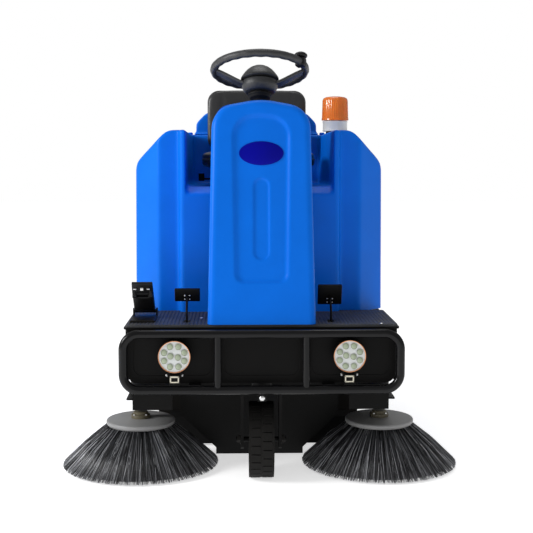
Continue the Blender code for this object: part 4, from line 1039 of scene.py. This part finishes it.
def roller_brush():
    """A core with eight helical rows of bristles."""
    core = bmesh.new()
    turn = Matrix.Translation(ROLLER) @ Matrix.Rotation(math.radians(90), 4, "Y")
    lathe(core, [(0, 0.372), (0.012, 0.372), (0.012, 0.35), (0.066, 0.35), (0.068, 0.348), (0.068, -0.348),
                 (0.066, -0.35), (0.012, -0.35), (0.012, -0.372), (0, -0.372)], turn, 48)
    piece("roller_core", core, DISC, "roller")
    made = bmesh.new()
    draw = random.Random(5)
    rows, tufts, fibres, twist, half = 8, 110, 4, 3.2, 0.345
    for row in range(rows):
        for i in range(tufts):
            x = -half + 2 * half * i / (tufts - 1)
            a = math.tau * row / rows + x * twist
            for _ in range(fibres):
                b = a + draw.gauss(0, 0.035)
                across = x + draw.gauss(0, 0.0018)
                tip = 0.1385 - abs(draw.gauss(0, 0.002))
                fibre(made, [ROLLER + Vector((across, *polar(r, b))) for r in (0.066, 0.1, tip)], 0.0012)
    piece("roller_bristles", made, FIBRE, "roller", ["main_brush"], 180)


def dust_skirt():
    """A rubber strip that closes the gap under the front of the roller housing."""
    made = bmesh.new()
    outline = [(-0.1256, 0.12), (-0.1296, 0.12), (-0.1296, 0.095), (-0.201, 0.0085), (-0.1965, 0.0085),
               (-0.1256, 0.093)]
    prism(made, outline, -0.34, 0.34, SIDE_PLANE)
    piece("dust_skirt", made, RUBBER, "chassis")


def arm_fittings(side_name, side):
    """Four bolts under the side brush's motor."""
    heads = [((side * BRUSH_X + x, BRUSH_Y + y, 0.262), -UP) for x, y in circle(0.028, 4, 0.5)]
    bolts(f"arm_bolts_{side_name}", f"arm_{side_name}", heads, 0.005, 0.006)


def small_fittings():
    latches = bmesh.new()
    for side in BOTH:
        for y in (0.3, 0.62):
            rod(latches, (side * 0.275, y, 1.1915), (side * 0.275, y, 1.2035), 0.011, 24, 0.003)
    piece("hood_latches", latches, BLUE, "chassis")
    heads = [((side * 0.4505, y, 0.5), (side, 0, 0)) for side in BOTH for y in (-0.66, -0.4, -0.05, 0.2, 0.7)]
    bolts("skirt_bolts", "chassis", heads, 0.006, 0.0035, True)
    axle_nuts = bmesh.new()
    for side in BOTH:
        bolt(axle_nuts, (side * 0.0705, FRONT_AXLE.y, FRONT_AXLE.z), (side, 0, 0), 0.0125, 0.01)
    piece("axle_nuts", axle_nuts, STEEL_DARK, "fork")


# Studio


def look(obj, at, target):
    obj.location = at
    obj.rotation_euler = (Vector(target) - Vector(at)).to_track_quat("-Z", "Y").to_euler()


def lamp(name, at, target, size, power):
    data = bpy.data.lights.new(name, "AREA")
    data.size = size
    data.energy = power
    look(placed(name, data), at, target)


def studio():
    """Three lamps, a floor, and a world that is brighter for the camera than for the machine."""
    bpy.context.scene.view_settings.view_transform = "Standard"
    world = bpy.data.worlds.new("studio")
    bpy.context.scene.world = world
    world.use_nodes = True
    tree = world.node_tree
    sky = tree.nodes["Background"]
    set_inputs(sky, Color=(1, 1, 1, 1))
    path, share = node(tree, "LightPath"), node(tree, "MapRange", To_Min=0.42, To_Max=1.0)
    tree.links.new(path.outputs["Is Camera Ray"], share.inputs["Value"])
    tree.links.new(share.outputs["Result"], sky.inputs["Strength"])
    lamp("key", (-4.5, -1.9, 2.6), (0, 0, 0.7), 1.6, 175)
    lamp("front", (0.8, -4.8, 2.0), (0, 0, 0.8), 1.2, 2)
    lamp("top", (0, 0.2, 4.0), (0, 0, 0.8), 1.8, 28)
    made = bmesh.new()
    bmesh.ops.create_grid(made, x_segments=2, y_segments=2, size=30)
    floor = mesh_object("floor", made)
    floor.location = (0, 0, -0.0005)
    finish = surface("studio_floor", (0.97, 0.97, 0.97), 0.8, grain=80, bump=0.0, mottle=0.005)
    set_inputs(principled(finish), Emission_Color=(1, 1, 1, 1), Emission_Strength=0.6)
    floor.data.materials.append(finish)


def camera():
    data = bpy.data.cameras.new("camera")
    data.sensor_width = 36
    data.lens = 74.84
    data.clip_end = 100
    obj = placed("camera", data)
    yaw, pitch = math.radians(1.525), math.radians(5.106)
    ahead = Vector((math.sin(yaw) * math.cos(pitch), math.cos(yaw) * math.cos(pitch), -math.sin(pitch)))
    at = Vector((-0.081, -4.36, 1.058))
    look(obj, at, at + ahead)
    bpy.context.scene.camera = obj


camera()
studio()
finish_cad_nodes()
body_shell()
hood()
column_cover()
column_back()
steering_wheel()
spinner()
boot()
seat()
beacon()
for side_name, side in SIDES:
    work_light(side_name, side * LIGHT_X)
    side_brush(side_name, side)
    arm_fittings(side_name, side)
bumper()
front_panel()
floor_mat()
pedal_pad("brake", BRAKE_X, 0.043, 0.046, "brake", "brake_pedal")
pedal_pad("flap_lift", FLAP_PEDAL_X, 0.041, 0.072, "flap_lifter", "flap_pedal")
accelerator()
wheels()
roller_brush()
dust_skirt()
small_fittings()
